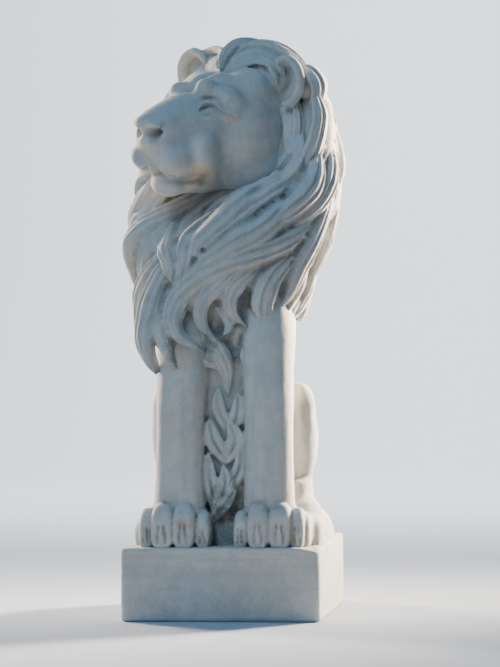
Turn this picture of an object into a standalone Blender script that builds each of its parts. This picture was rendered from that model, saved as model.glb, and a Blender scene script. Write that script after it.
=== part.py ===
"""Sitting lion of cast stone on its plinth: one casting, and so one closed solid.

Metres, +Z up. The origin is the middle of the plinth's underside. The lion faces -Y, with its left side
at +X, and its head is turned towards -X.

The figure is drawn in steps: LION_HEIGHT is STEPS_TALL of them, and a figure's places are counted in
steps from the middle of the plinth's top. The head has steps of its own, from the middle between its
ears, looking along -Y, and is turned into place as a whole.
"""

import math
import random

import bpy
import numpy as np
from mathutils import Euler, Matrix, Vector

# Driving sizes, in metres
PLINTH_WIDTH = 0.380
PLINTH_DEPTH = 0.460
PLINTH_HEIGHT = 0.140
PLINTH_CORNER_RADIUS = 0.012
PLINTH_EDGE_RADIUS = 0.006
LION_HEIGHT = 0.975

# The figure's own measure, and the pose of its head in degrees
STEPS_TALL = 975
HEAD_PLACE = (15, 0, 916)
HEAD_TURN = 37
HEAD_TILT = 7
HEAD_NOD = 5

# How much further out the knee and the hind foot on each side are set, and how high the instep rises
KNEE_SPREAD = {-1: 0, 1: 7}
HIND_FOOT_SPREAD = {-1: 0, 1: 8}
INSTEP_RISE = {-1: 58, 1: 70}

# How much lower the brow and skull on the lion's right are carved, in steps, and its crown as a share
FAR_BROW_DROP = 12
FAR_CROWN_DROP = 0.35

# The eyes, in the head's steps: middle of the opening, its half length, and how far it faces outward
EYE_MIDDLE = (61, -119, -71)
EYE_REACH = 34
EYE_TURN = 47

# Where the locks of the mane stop and those of the crown take over
CROWN_HEIGHT = 922

# The seed of the small differences between the locks, and how gradually they draw back at the face
LOCK_SEED = 4
FACE_EDGE_SOFTNESS = 14

# How finely the skin is made
BODY_VOXEL = 7.0
HEAD_VOXEL = 4.0
EYE_VOXEL = 2.5
SKIN_VOXEL = 6.0
TRIANGLES_OF_FIGURE = 9000

# How deep the figure runs into the plinth, so that the two join as one body
SEAT_DEPTH = 9

# The stone
STONE_COLOUR = (0.62, 0.59, 0.53, 1.0)
STONE_ROUGHNESS = 0.92

# The mane's ground form, level rings: height, middle x, middle y, half width, half depth
MANE_RINGS = (
    (340, -12, -62, 104, 62),
    (380, -14, -56, 124, 84),
    (430, -17, -44, 136, 104),
    (500, -14, -32, 155, 120),
    (560, -10, -20, 174, 130),
    (620, -2, -10, 185, 136),
    (680, 8, 0, 191, 140),
    (740, 13, 12, 186, 140),
    (790, 19, 26, 168, 136),
    (840, 25, 38, 146, 122),
    (885, 30, 46, 120, 102),
    (920, 32, 48, 88, 76),
    (942, 30, 48, 44, 40),
)


# The main locks on the chest: half width, lift, then angle from the front and height, from root to tip
FRONT_LOCKS = (
    (30, 8, (-34, 560), (-56, 505), (-74, 455), (-80, 405), (-76, 364)),
    (32, 11, (-30, 552), (-44, 490), (-50, 437), (-52, 391), (-47, 354)),
    (22, 14, (-42, 606), (-31, 545), (-29, 496)),
    (34, 11, (66, 622), (34, 565), (5, 531), (-17, 492), (-27, 450), (-24, 412), (-4, 384)),
    (25, 10, (40, 560), (15, 530), (1, 493), (-9, 455), (-7, 413), (8, 380)),
    (24, 8, (34, 548), (20, 511), (12, 477), (14, 443), (27, 414)),
    (32, 10, (52, 560), (39, 511), (36, 465), (38, 431), (31, 402)),
    (26, 13, (74, 680), (65, 592), (59, 534), (57, 488), (51, 450)),
    (26, 9, (92, 680), (86, 605), (84, 542), (82, 494)),
    (26, 7, (88, 560), (84, 500), (79, 460), (72, 424)),
    (38, 14, (14, 700), (7, 655), (-2, 605), (-11, 565), (-8, 546)),
    (34, 12, (38, 650), (26, 600), (8, 560), (-7, 530), (-16, 505)),
    (34, 7, (-22, 690), (-48, 632), (-72, 586), (-82, 540), (-78, 484)),
    (30, 8, (-8, 640), (-18, 585), (-19, 535), (-27, 486)),
    (15, 6, (2, 455), (12, 420), (5, 396)),
    (26, 2, (-12, 412), (2, 370), (8, 330), (10, 278)),
    (20, 6, (-34, 412), (-30, 374), (-14, 355), (2, 336)),
    (18, 5, (38, 406), (27, 372), (24, 342)),
    (30, 8, (58, 750), (52, 684), (38, 632), (22, 588)),
    (28, 7, (74, 770), (68, 705), (60, 650), (46, 604)),
    (26, 5, (-62, 730), (-74, 682), (-84, 636)),
)


class Clay:
    """Closed shapes gathered as points and faces, to be joined into one skin."""

    def __init__(self):
        self.points = []
        self.faces = []
        self.count = 0

    def add(self, points, faces):
        self.points.append(np.asarray(points, float))
        self.faces.extend([[corner + self.count for corner in face] for face in faces])
        self.count += len(points)

    def all_points(self):
        return np.concatenate(self.points)


def curve_through(points, count):
    """Rows along a smooth curve through the given rows."""
    points = np.asarray(points, float)
    spans = len(points) - 1
    places = np.linspace(0, spans, count)
    index = np.minimum(places.astype(int), spans - 1)
    part = (places - index)[:, None]
    first = 2 * points[0] - points[1]
    last = 2 * points[-1] - points[-2]
    padded = np.vstack([first, points, last])
    before, start, end, after = (padded[index + step] for step in range(4))
    bend = 2 * before - 5 * start + 4 * end - after
    twist = 3 * start - before - 3 * end + after
    return 0.5 * (2 * start + (end - before) * part + bend * part**2 + twist * part**3)


def unit(vectors):
    return vectors / np.maximum(np.linalg.norm(vectors, axis=-1, keepdims=True), 1e-9)


def add_loft(clay, loops):
    """A closed body from loops of points, one after another."""
    rows, sides, _ = loops.shape
    faces = [list(range(sides))[::-1], list(range((rows - 1) * sides, rows * sides))]
    for row in range(rows - 1):
        for side in range(sides):
            here = row * sides + side
            beside = row * sides + (side + 1) % sides
            faces.append([here, beside, beside + sides, here + sides])
    clay.add(loops.reshape(-1, 3), faces)


def add_blob(clay, middle, radii, lean=(0, 0, 0), sides=24):
    """An ellipsoid, leant by degrees about x, y and z."""
    heights = np.linspace(-0.985, 0.985, sides // 2)
    turns = np.linspace(0, 2 * np.pi, sides, endpoint=False)
    heights = np.sin(heights * np.pi / 2)
    across = np.sqrt(1 - heights**2)
    loops = np.empty((len(heights), sides, 3))
    loops[:, :, 0] = across[:, None] * np.cos(turns)
    loops[:, :, 1] = across[:, None] * np.sin(turns)
    loops[:, :, 2] = heights[:, None]
    turn = np.array(Euler([math.radians(angle) for angle in lean]).to_matrix())
    add_loft(clay, (loops * radii) @ turn.T + middle)


def add_limb(clay, rings, squareness=2.4, sides=24):
    """An upright limb from level rings: middle x, y and z, half width and half depth."""
    rows = curve_through(rings, 4 * len(rings))
    turns = np.linspace(0, 2 * np.pi, sides, endpoint=False)
    power = 2 / squareness
    across = np.sign(np.cos(turns)) * np.abs(np.cos(turns)) ** power
    along = np.sign(np.sin(turns)) * np.abs(np.sin(turns)) ** power
    loops = np.empty((len(rows), sides, 3))
    loops[:, :, 0] = rows[:, 0, None] + rows[:, 3, None] * across
    loops[:, :, 1] = rows[:, 1, None] + rows[:, 4, None] * along
    loops[:, :, 2] = rows[:, 2, None]
    add_loft(clay, loops)


def add_band(clay, points, outward, widths, heights, strands=0, strand_depth=0.0, sides=24):
    """A tapering band on a surface: a lens across, with its ridge outward and grooves between strands."""
    along = unit(np.gradient(points, axis=0))
    outward = unit(outward - along * (outward * along).sum(axis=1, keepdims=True))
    across = np.cross(along, outward)
    turns = np.linspace(0, 2 * np.pi, sides, endpoint=False)
    reach = np.cos(turns)
    rise = np.where(np.sin(turns) > 0, np.sin(turns), 0.7 * np.sin(turns))
    if strands:
        groove = 1 - strand_depth * (0.5 - 0.5 * np.cos(strands * np.pi * (reach + 1)))
        rise = np.where(rise > 0, rise * groove, rise)
    loops = (
        points[:, None, :]
        + across[:, None, :] * (widths[:, None] * reach)[:, :, None]
        + outward[:, None, :] * (heights[:, None] * rise)[:, :, None]
    )
    add_loft(clay, loops)


def mesh_object(name, points, faces):
    mesh = bpy.data.meshes.new(name)
    mesh.from_pydata([tuple(point) for point in points], [], faces)
    made = bpy.data.objects.new(name, mesh)
    bpy.context.scene.collection.objects.link(made)
    return made


def shape_of(made):
    """The points and triangles of an object with its modifiers, and the object is removed."""
    bpy.context.view_layer.update()
    evaluated = made.evaluated_get(bpy.context.evaluated_depsgraph_get())
    mesh = bpy.data.meshes.new_from_object(evaluated)
    mesh.calc_loop_triangles()
    points = np.empty(len(mesh.vertices) * 3)
    mesh.vertices.foreach_get("co", points)
    faces = np.empty(len(mesh.loop_triangles) * 3, dtype=int)
    mesh.loop_triangles.foreach_get("vertices", faces)
    old = made.data
    bpy.data.objects.remove(made)
    bpy.data.meshes.remove(old)
    bpy.data.meshes.remove(mesh)
    return points.reshape(-1, 3), faces.reshape(-1, 3)


def outer_shell(points, faces):
    """Leaves out the sealed pockets inside: only what is linked to the lowest point stays."""
    label = np.arange(len(points))
    while True:
        lowest = label[faces].min(axis=1)
        fresh = label.copy()
        np.minimum.at(fresh, faces.ravel(), np.repeat(lowest, 3))
        fresh = fresh[fresh]
        if (fresh == label).all():
            break
        label = fresh
    kept = label[faces[:, 0]] == label[points[:, 2].argmin()]
    used = np.unique(faces[kept])
    index = np.full(len(points), -1)
    index[used] = np.arange(len(used))
    return points[used], index[faces[kept]]


def skinned(clay, voxel, rounds, factor=0.5):
    """One skin round all the shapes of the clay, smoothed so that they run into each other."""
    made = mesh_object("clay", clay.all_points(), clay.faces)
    remesh = made.modifiers.new("skin", "REMESH")
    remesh.mode = "VOXEL"
    remesh.voxel_size = voxel
    if rounds:
        smooth = made.modifiers.new("soften", "SMOOTH")
        smooth.factor = factor
        smooth.iterations = rounds
    points, faces = shape_of(made)
    return outer_shell(points, faces)


def normals_of(points, faces):
    corners = points[faces]
    across = np.cross(corners[:, 1] - corners[:, 0], corners[:, 2] - corners[:, 0])
    sums = np.zeros_like(points)
    for corner in range(3):
        np.add.at(sums, faces[:, corner], across)
    return unit(sums)


def nearest_on(points, line):
    """Each point's distance from a line of points, and how far along the line its nearest place is."""
    best = np.full(len(points), np.inf)
    place = np.zeros(len(points))
    for index in range(len(line) - 1):
        start = line[index]
        run = line[index + 1] - start
        part = np.clip((points - start) @ run / max(run @ run, 1e-9), 0, 1)
        gap = np.linalg.norm(points - start - part[:, None] * run, axis=1)
        closer = gap < best
        best[closer] = gap[closer]
        place[closer] = (index + part[closer]) / (len(line) - 1)
    return best, place


def carve(points, faces, line, width, depth):
    """Sinks a groove of a depth along a line, or raises a ridge where the depth is below zero."""
    gap, place = nearest_on(points, curve_through(line, 24))
    fade = np.minimum(1, 8 * np.minimum(place, 1 - place) + 0.35)
    push = depth * fade * np.exp(-((gap / width) ** 2))
    near = push != 0
    points[near] -= normals_of(points, faces)[near] * push[near, None]


def both(place, side):
    """A place on the right side of the figure or, mirrored, on the left."""
    return (side * place[0], *place[1:])


# Body and limbs


def add_torso(clay):
    add_blob(clay, (0, -25, 400), (112, 98, 150))
    add_blob(clay, (0, 45, 310), (112, 112, 190), lean=(18, 0, 0))
    add_blob(clay, (0, 108, 130), (128, 98, 150))
    add_limb(clay, ((0, -10, -SEAT_DEPTH, 96, 92), (0, 0, 150, 98, 92), (0, 0, 330, 98, 90)))
    add_limb(clay, ((0, 120, -SEAT_DEPTH, 120, 84), (0, 122, 60, 122, 84), (0, 112, 140, 110, 80)))


def add_foreleg(clay, side):
    add_limb(
        clay,
        (
            (side * 88, -154, 34, 52, 50),
            (side * 86, -146, 90, 49, 47),
            (side * 85, -138, 180, 47, 48),
            (side * 84, -128, 270, 48, 54),
            (side * 82, -112, 340, 50, 62),
            (side * 78, -80, 420, 54, 76),
            (side * 72, -50, 500, 50, 74),
        ),
    )


def add_toe(clay, across, front, half_width, height):
    """A loaf-shaped toe that runs forward to its rounded front: square in section, high at the knuckle."""
    rows = curve_through(
        ((96, 0.55, 0.9), (60, 0.9, 1), (34, 1, 1), (16, 0.94, 0.98), (4, 0.76, 0.86), (0, 0.52, 0.6)), 18
    )
    turns = np.linspace(0, 2 * np.pi, 24, endpoint=False)
    power = 0.72
    loops = np.empty((len(rows), len(turns), 3))
    wide = np.sign(np.cos(turns)) * np.abs(np.cos(turns)) ** power
    rise = np.sign(np.sin(turns)) * np.abs(np.sin(turns)) ** power
    tops = height * rows[:, 1]
    loops[:, :, 0] = across + half_width * rows[:, 2, None] * wide
    loops[:, :, 1] = front + rows[:, 0, None]
    loops[:, :, 2] = (tops - SEAT_DEPTH)[:, None] / 2 + ((tops + SEAT_DEPTH) / 2)[:, None] * rise
    add_loft(clay, loops)


def add_forepaw(clay, side):
    add_limb(
        clay,
        (
            (side * 89, -148, -SEAT_DEPTH, 62, 52),
            (side * 89, -150, 30, 62, 50),
            (side * 88, -150, 70, 54, 46),
        ),
    )
    toe_places = ((144, -204, 15, 74), (112, -219, 23, 83), (71, -219, 22, 84), (36, -204, 15, 68))
    for across, front, half_width, height in toe_places:
        add_toe(clay, side * across, front, half_width, height)


def add_hind_leg(clay, side):
    """Thigh, bent knee and shin, and the long foot with its toes beside the forepaw."""
    add_blob(clay, (side * 94, 76, 178), (56, 112, 126), lean=(-12, 0, 0))
    knee = KNEE_SPREAD[side]
    add_blob(clay, (side * (122 + knee), -18, 205), (38, 56, 104), lean=(8, 0, 0))
    add_blob(clay, (side * (126 + knee), -24, 258), (32, 44, 50))
    add_limb(
        clay,
        (
            (side * 118, -10, -SEAT_DEPTH, 46, 70),
            (side * 118, -10, 50, 40, 66),
            (side * 122, -15, 120, 32, 56),
        ),
    )
    add_blob(clay, (side * 139, 72, 0), (48, 124, 64))
    spread = HIND_FOOT_SPREAD[side]
    add_blob(clay, (side * (130 + spread), -60, 22), (43, 84, INSTEP_RISE[side]), lean=(0, side * 8, 0))
    add_blob(clay, (side * (133 + spread), -58, 0), (45, 94, 38))
    for across, front, half_width, height in ((124, -186, 14, 60), (146, -190, 15, 66), (165, -150, 12, 52)):
        add_toe(clay, side * (across + spread), front, half_width, height)


def add_tail(clay):
    route = ((-10, 196, 40), (-60, 203, 22), (-120, 196, 20), (-158, 172, 22), (-168, 130, 30))
    points = curve_through(route, 20)
    share = np.linspace(0, 1, len(points))
    radii = 13 + 9 * np.exp(-(((share - 0.86) / 0.12) ** 2))
    radii[-1] = 4
    upward = np.tile((0.0, 0.0, 1.0), (len(points), 1))
    add_band(clay, points, upward, radii, radii)


def add_leaves(clay):
    """The leaf relief between the forelegs: a panel with upright pointed leaves in overlapping rows."""
    add_limb(clay, ((0, -88, -SEAT_DEPTH, 44, 26), (0, -88, 200, 44, 26), (0, -84, 330, 44, 26)), 4)
    add_limb(clay, ((0, -118, -SEAT_DEPTH, 40, 34), (0, -116, 22, 38, 32), (0, -104, 70, 36, 22)), 3)
    rows = ((292, (-16, 20)), (252, (-36, 6, 38)), (204, (-38, -4, 32)), (156, (-24, 16)), (116, (-2, 30)))
    for row, (tip, places) in enumerate(rows):
        for across in places:
            route = ((0.35 * across, 0, tip - 104), (0.8 * across, -5, tip - 50), (across, -1, tip))
            points = curve_through(route, 10)
            points[:, 1] += -112 - 2 * row
            share = np.linspace(0, 1, len(points))
            widths = 15 * np.sin(np.pi * (0.12 + 0.88 * share)) ** 0.8 + 0.6
            frontward = np.tile((0.0, -1.0, 0.0), (len(points), 1))
            add_band(clay, points, frontward, widths, 0.62 * widths + 2)


def body_clay():
    clay = Clay()
    add_torso(clay)
    add_tail(clay)
    for side in (-1, 1):
        add_foreleg(clay, side)
        add_hind_leg(clay, side)
    return clay


def carve_body(points, faces):
    """The tendon line down each foreleg and the muscle grooves of the hind legs."""
    for side in (-1, 1):
        ridge = ((side * 78, -186, 100), (side * 80, -184, 200), (side * 80, -176, 300))
        carve(points, faces, ridge, 9, -4)
        knee = ((side * 150, -66, 270), (side * 156, -72, 190), (side * 152, -78, 110))
        carve(points, faces, knee, 8, 5)
        thigh = ((side * 150, -20, 280), (side * 168, 30, 200), (side * 160, 60, 90))
        carve(points, faces, thigh, 12, 6)


# Mane


def behind_face(points):
    """Moves what lies before the edge of the face back to it, so that the mane frames the cheeks."""
    turn = np.array(head_turn())
    heads = (points - turn[:3, 3]) @ turn[:3, :3]
    heights = (-390, -330, -285, -250, -216, -161, -104, 40)
    edge = np.interp(heads[:, 2], heights, (-420, -200, -142, -98, -34, 2, 12, 20))
    side = np.interp(heads[:, 0], (-150, -90), (0, 1))
    over = (edge - heads[:, 1]) / FACE_EDGE_SOFTNESS
    heads[:, 1] += side * FACE_EDGE_SOFTNESS * np.logaddexp(0, np.clip(over, -30, 30))
    return heads @ turn[:3, :3].T + turn[:3, 3]


def mane_places(rows):
    """Points and outward directions on the mane's ground form, for rows of angle, height and lift.

    The angle is in degrees from the front, towards +X.
    """
    rings = curve_through(MANE_RINGS, 80)

    def place(angle, height):
        turn = np.radians(angle)
        middle_x, middle_y, half_width, half_depth = (
            np.interp(height, rings[:, 0], rings[:, column]) for column in range(1, 5)
        )
        across = middle_x + half_width * np.sin(turn)
        along = middle_y - half_depth * np.cos(turn)
        return np.stack([across, along, height], axis=1)

    angle, height, lift = rows.T
    ground = behind_face(place(angle, height))
    round_it = place(angle + 2, height) - place(angle - 2, height)
    up_it = place(angle, height + 4) - place(angle, height - 4)
    outward = unit(np.cross(round_it, up_it))
    return ground + outward * lift[:, None], outward


def lock_swell(share):
    """How wide a lock is along its length: full in the middle, pointed at its end."""
    return np.interp(share, (0, 0.15, 0.4, 0.7, 0.9, 1), (0.5, 0.82, 1, 0.8, 0.38, 0.06))


def add_lock(clay, rows, half_width, height, strands=2):
    """A lock of hair along rows of angle, height and lift on the mane."""
    rows = curve_through(rows, 24)
    rows[:, 1] = np.minimum(rows[:, 1], CROWN_HEIGHT)
    points, outward = mane_places(rows)
    swell = lock_swell(np.linspace(0, 1, len(points)))
    add_band(clay, points, outward, half_width * swell, height * (0.4 + 0.6 * swell), strands, 0.26)


def fringe_height(angle):
    """How low the mane's lowest tips hang at an angle from the front."""
    angles = (-180, -110, -60, -35, -22, -8, 0, 8, 25, 60, 110, 180)
    heights = (470, 420, 372, 352, 362, 330, 268, 325, 380, 410, 432, 470)
    return np.interp(angle, angles, heights)


def sweep_at(angle):
    """How many degrees a lock's root lies towards +X from its tip."""
    return np.interp(angle, (-180, -90, -40, 0, 40, 90, 150, 180), (0, 14, 22, 38, 44, 30, 8, 0))


def add_tier(clay, chance, rise, spacing, length, half_width, height, lift):
    """One tier of locks round the mane, its tips a rise above the fringe."""
    count = round(360 / spacing)
    shift = chance.uniform(0, 1)
    for index in range(count):
        angle = -180 + (index + shift + chance.uniform(-0.2, 0.2)) * spacing
        tip = fringe_height(angle) + rise + chance.uniform(-1, 1) * (5 if rise == 0 else 24)
        reach = length * chance.uniform(0.85, 1.15)
        wave = chance.uniform(3, 8) * (1 if index % 2 else -1)
        root = sweep_at(angle) * chance.uniform(0.85, 1.15)
        raised = lift + chance.uniform(-4, 8)
        rows = (
            (angle + root, tip + reach, raised - 6),
            (angle + 0.72 * root + wave, tip + 0.68 * reach, raised + 1),
            (angle + 0.36 * root - 0.6 * wave, tip + 0.34 * reach, raised + 3),
            (angle + 0.06 * root + 0.5 * wave, tip + 0.1 * reach, raised + 3),
            (angle + wave, tip, raised),
        )
        add_lock(clay, rows, half_width * chance.uniform(0.8, 1.2), height, chance.choice((3, 4)))


def mane_clay():
    clay = Clay()
    chance = random.Random(LOCK_SEED)
    rings = curve_through(MANE_RINGS, 40)
    ground = Clay()
    add_limb(ground, [(ring[1], ring[2], ring[0], ring[3], ring[4]) for ring in rings], 2.0, 40)
    clay.add(behind_face(ground.all_points()), ground.faces)
    add_blob(clay, (32, 58, 916), (94, 86, 50))
    add_tier(clay, chance, 0, 14, 170, 26, 17, 0)
    for rise in (70, 140, 210, 280, 350, 420):
        add_tier(clay, chance, rise, 18, 200, 32, 18, 2)
    for half_width, lift, *route in FRONT_LOCKS:
        rows = [(angle, height, lift) for angle, height in route]
        rows[0] = (*route[0], lift - 12)
        add_lock(clay, rows, half_width, 24, 4)
    return clay


# Head, in its own steps


def add_muzzle(clay):
    """The muzzle as upright rings from the cheeks to the nose: y, top, bottom and half width."""
    rings = curve_through(
        (
            (-50, -22, -200, 92),
            (-95, -24, -208, 80),
            (-130, -32, -208, 62),
            (-165, -43, -202, 51),
            (-200, -54, -186, 46),
            (-232, -67, -158, 39),
            (-254, -77, -128, 28),
        ),
        22,
    )
    turns = np.linspace(0, 2 * np.pi, 28, endpoint=False)
    power = 0.84
    loops = np.empty((len(rings), len(turns), 3))
    loops[:, :, 0] = rings[:, 3, None] * np.sign(np.cos(turns)) * np.abs(np.cos(turns)) ** power
    loops[:, :, 1] = rings[:, 0, None]
    middle = (rings[:, 1] + rings[:, 2]) / 2
    reach = (rings[:, 1] - rings[:, 2]) / 2
    rise = np.sign(np.sin(turns)) * np.abs(np.sin(turns)) ** power
    loops[:, :, 2] = middle[:, None] + reach[:, None] * rise
    add_loft(clay, loops)


def head_clay():
    """The head's broad forms: skull, cheeks, muzzle and jaw."""
    clay = Clay()
    add_blob(clay, (0, 0, -62), (116, 104, 68))
    add_blob(clay, (0, -72, -46), (84, 64, 44), lean=(14, 0, 0))
    add_blob(clay, (0, -22, -114), (130, 92, 92))
    add_muzzle(clay)
    add_blob(clay, (0, -112, -200), (60, 86, 36), lean=(-4, 0, 0))
    add_blob(clay, (14, -14, -184), (122, 90, 84))
    for side in (-1, 1):
        drop = FAR_BROW_DROP * (side < 0)
        add_blob(clay, (side * 62, -30, -42 - drop), (50, 50, 53))
        add_blob(clay, (side * 72, -50, -118), (58, 66, 82))
        add_blob(clay, (side * 62, -86, -66), (44, 44, 38))
    return clay


def feature_clay():
    """What stands out from the broad forms: nose, whisker pads, chin, brows and ears."""
    clay = Clay()
    add_blob(clay, (0, -246, -93), (29, 24, 17))
    add_blob(clay, (0, -186, -212), (42, 30, 26))
    add_blob(clay, (0, -150, -206), (52, 54, 28))
    for side in (-1, 1):
        drop = FAR_BROW_DROP * (side < 0)
        add_blob(clay, (side * 31, -202, -152), (34, 42, 40))
        add_blob(clay, (side * 40, -172, -156), (32, 62, 42), lean=(0, 0, side * 14))
        add_blob(clay, (side * 25, -240, -100), (17, 20, 15))
        add_blob(clay, (side * 36, -124, -34 - drop), (23, 25, 26))
        add_blob(clay, (side * 66, -98, -44 - drop), (36, 28, 21), lean=(0, side * 12, side * 42))
        add_blob(clay, (side * 128, 4, -16), (41, 19, 44), lean=(0, side * 8, side * 16))
    return clay


def eye_places(side, across, up):
    """Places on the bulge of an eye: across runs from its inner to its outer corner."""
    middle = np.array((side * EYE_MIDDLE[0], EYE_MIDDLE[1], EYE_MIDDLE[2]))
    turn = math.radians(EYE_TURN)
    outer = np.array((side * math.cos(turn), math.sin(turn), 0.0))
    ahead = np.array((side * math.sin(turn), -math.cos(turn), 0.0))
    out = 9 * (1 - (across / EYE_REACH) ** 2 - (up / EYE_REACH) ** 2)
    flat = across[:, None] * outer + up[:, None] * np.array((0.0, 0.0, 1.0))
    return middle + flat + out[:, None] * ahead, ahead


def add_eye(clay, side):
    """An eye as a long bulge between a heavy upper and a thin lower lid, which run on outward as a fold."""
    middle = (side * (EYE_MIDDLE[0] - 5), EYE_MIDDLE[1] + 5, EYE_MIDDLE[2])
    add_blob(clay, middle, (30, 15, 16), lean=(0, side * 8, side * EYE_TURN))
    upper = ((-29, 7), (-23, 14), (-13, 15), (0, 8), (12, 1), (26, -4), (38, -7))
    lower = ((-29, 3), (-22, -6), (-12, -9), (2, -8), (14, -6), (26, -6))
    for line, thickness in ((upper, 4.4), (lower, 2.8)):
        rows = curve_through(line, 22)
        points, ahead = eye_places(side, rows[:, 0], rows[:, 1])
        swell = thickness * (1 - 0.6 * np.abs(np.linspace(-1, 1, len(points))))
        add_band(clay, points, np.tile(ahead, (len(points), 1)), swell, swell)


def dent(points, middle, radius, push):
    """Moves what is near a place by a push that fades away from it."""
    gap = np.linalg.norm(points - middle, axis=1)
    points += np.exp(-((gap / radius) ** 2))[:, None] * np.asarray(push, float)


def carve_face(points, faces):
    """Nostrils, mouth, ears and the lines of the muzzle and brow."""
    for side in (-1, 1):
        dent(points, (side * 122, -16, -14), 21, (side * -8, 30, -2))
        dent(points, (side * 20, -262, -108), 9, (side * -2, 12, 3))
        nostril = ((side * 12, -264, -110), (side * 22, -258, -109), (side * 32, -244, -98))
        carve(points, faces, nostril, 5.5, 8)
        mouth = ((0, -236, -176), (side * 26, -224, -190), (side * 46, -188, -203))
        mouth += ((side * 60, -140, -202),)
        carve(points, faces, mouth, 5.5, 11)
        dent(points, (side * 60, -140, -204), 12, (side * -14, 6, 2))
        inner_corner = ((side * 24, -158, -56), (side * 36, -146, -68), (side * 42, -138, -90))
        carve(points, faces, inner_corner, 9, 5)
        under_brow = ((side * 30, -142, -52), (side * 56, -122, -54), (side * 84, -92, -66))
        carve(points, faces, under_brow, 6, 4)
    carve(points, faces, ((0, -270, -110), (0, -256, -140), (0, -238, -176)), 4.5, 10)
    carve(points, faces, ((0, -66, 4), (0, -104, -14), (0, -142, -34)), 10, 5)


def crown_routes(side):
    """Locks from the parting on the forehead, over the ear and down behind it, each with its half width."""
    long_arc = ((0, -46, -4), (10, -33, 20), (22, -15, 40), (47, -1, 49))
    long_arc += ((79, 9, 47), (112, 17, 33), (135, 27, 4), (149, 34, -32))
    under_arc = ((4, -50, -6), (26, -40, 13), (52, -26, 25), (80, -16, 25), (104, -8, 12), (118, -2, -12))
    inner_arc = ((8, -50, -4), (34, -44, 10), (62, -34, 14), (88, -26, 8), (106, -20, -8))
    upper_arc = ((6, -28, 22), (18, -2, 43), (42, 22, 49), (78, 38, 43), (112, 52, 21), (140, 60, -10))
    tuft = ((4, -48, 2), (3, -43, 26), (8, -24, 45), (18, 0, 53), (28, 24, 51), (40, 44, 40))
    behind_ear = ((132, 34, 10), (156, 40, 2), (174, 44, -24), (166, 44, -58), (152, 40, -84))
    under_ear = ((140, 14, -50), (154, 12, -100), (142, 2, -158), (116, -34, -212))
    under_ear += ((90, -84, -252), (72, -134, -296))
    beside_ear = ((170, 38, -40), (190, 32, -84), (184, 18, -146), (160, -8, -216))
    beside_ear += ((132, -54, -276), (104, -110, -330))
    routes = ((long_arc, 11), (under_arc, 15), (inner_arc, 13), (upper_arc, 22), (tuft, 16))
    routes += ((behind_ear, 26), (under_ear, 17), (beside_ear, 24))
    drop = FAR_CROWN_DROP * (side < 0)
    sided = []
    for route, half_width in routes:
        sided.append(([(side * x, y, z - drop * max(z, 0)) for x, y, z in route], half_width))
    return sided


def crown_clay():
    clay = Clay()
    add_blob(clay, (18, 20, -12), (104, 64, 57))
    for side in (-1, 1):
        for route, half_width in crown_routes(side):
            points = curve_through(route, 28)
            outward = unit(points - (0, 40, -90))
            swell = lock_swell(np.linspace(0, 1, len(points)))
            add_band(clay, points, outward, half_width * swell, 12 * (0.4 + 0.6 * swell), 3, 0.3)
        add_blob(clay, (side * 146, 50, -26), (30, 32, 30))
    return clay


def head_turn():
    """The matrix that turns the head's steps into the figure's."""
    nod = Matrix.Rotation(math.radians(HEAD_NOD), 4, "X")
    tilt = Matrix.Rotation(math.radians(HEAD_TILT), 4, "Y")
    turn = Matrix.Rotation(math.radians(-HEAD_TURN), 4, "Z")
    return Matrix.Translation(Vector(HEAD_PLACE)) @ turn @ tilt @ nod


def placed_head():
    """The carved head with its crown of hair, turned into the figure's steps."""
    points, faces = skinned(head_clay(), HEAD_VOXEL, 30)
    features = feature_clay()
    features.add(points, faces.tolist())
    points, faces = skinned(features, HEAD_VOXEL, 14)
    for side in (-1, 1):
        dent(points, both((EYE_MIDDLE[0] + 5, EYE_MIDDLE[1] - 6, EYE_MIDDLE[2]), side), 25, (side * -12, 12, 0))
    eyes = Clay()
    eyes.add(points, faces.tolist())
    for side in (-1, 1):
        add_eye(eyes, side)
    points, faces = skinned(eyes, EYE_VOXEL, 2)
    carve_face(points, faces)
    head = Clay()
    head.add(points, faces.tolist())
    crown = crown_clay()
    head.add(crown.all_points(), crown.faces)
    turn = np.array(head_turn())
    return head.all_points() @ turn[:3, :3].T + turn[:3, 3], head.faces


# The whole


def figure():
    """The lion with its leaves, in steps, as one skin."""
    clay = Clay()
    body_points, body_faces = skinned(body_clay(), BODY_VOXEL, 8)
    carve_body(body_points, body_faces)
    clay.add(body_points, body_faces.tolist())
    head_points, head_faces = placed_head()
    clay.add(head_points, head_faces)
    mane = mane_clay()
    clay.add(mane.all_points(), mane.faces)
    for side in (-1, 1):
        add_forepaw(clay, side)
    add_leaves(clay)
    return skinned(clay, SKIN_VOXEL, 1)


def thinned(points, faces, triangles):
    """The same skin with fewer triangles."""
    made = mesh_object("thinned", points, faces.tolist())
    thin = made.modifiers.new("thin", "DECIMATE")
    thin.ratio = triangles / len(faces)
    return shape_of(made)


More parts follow.
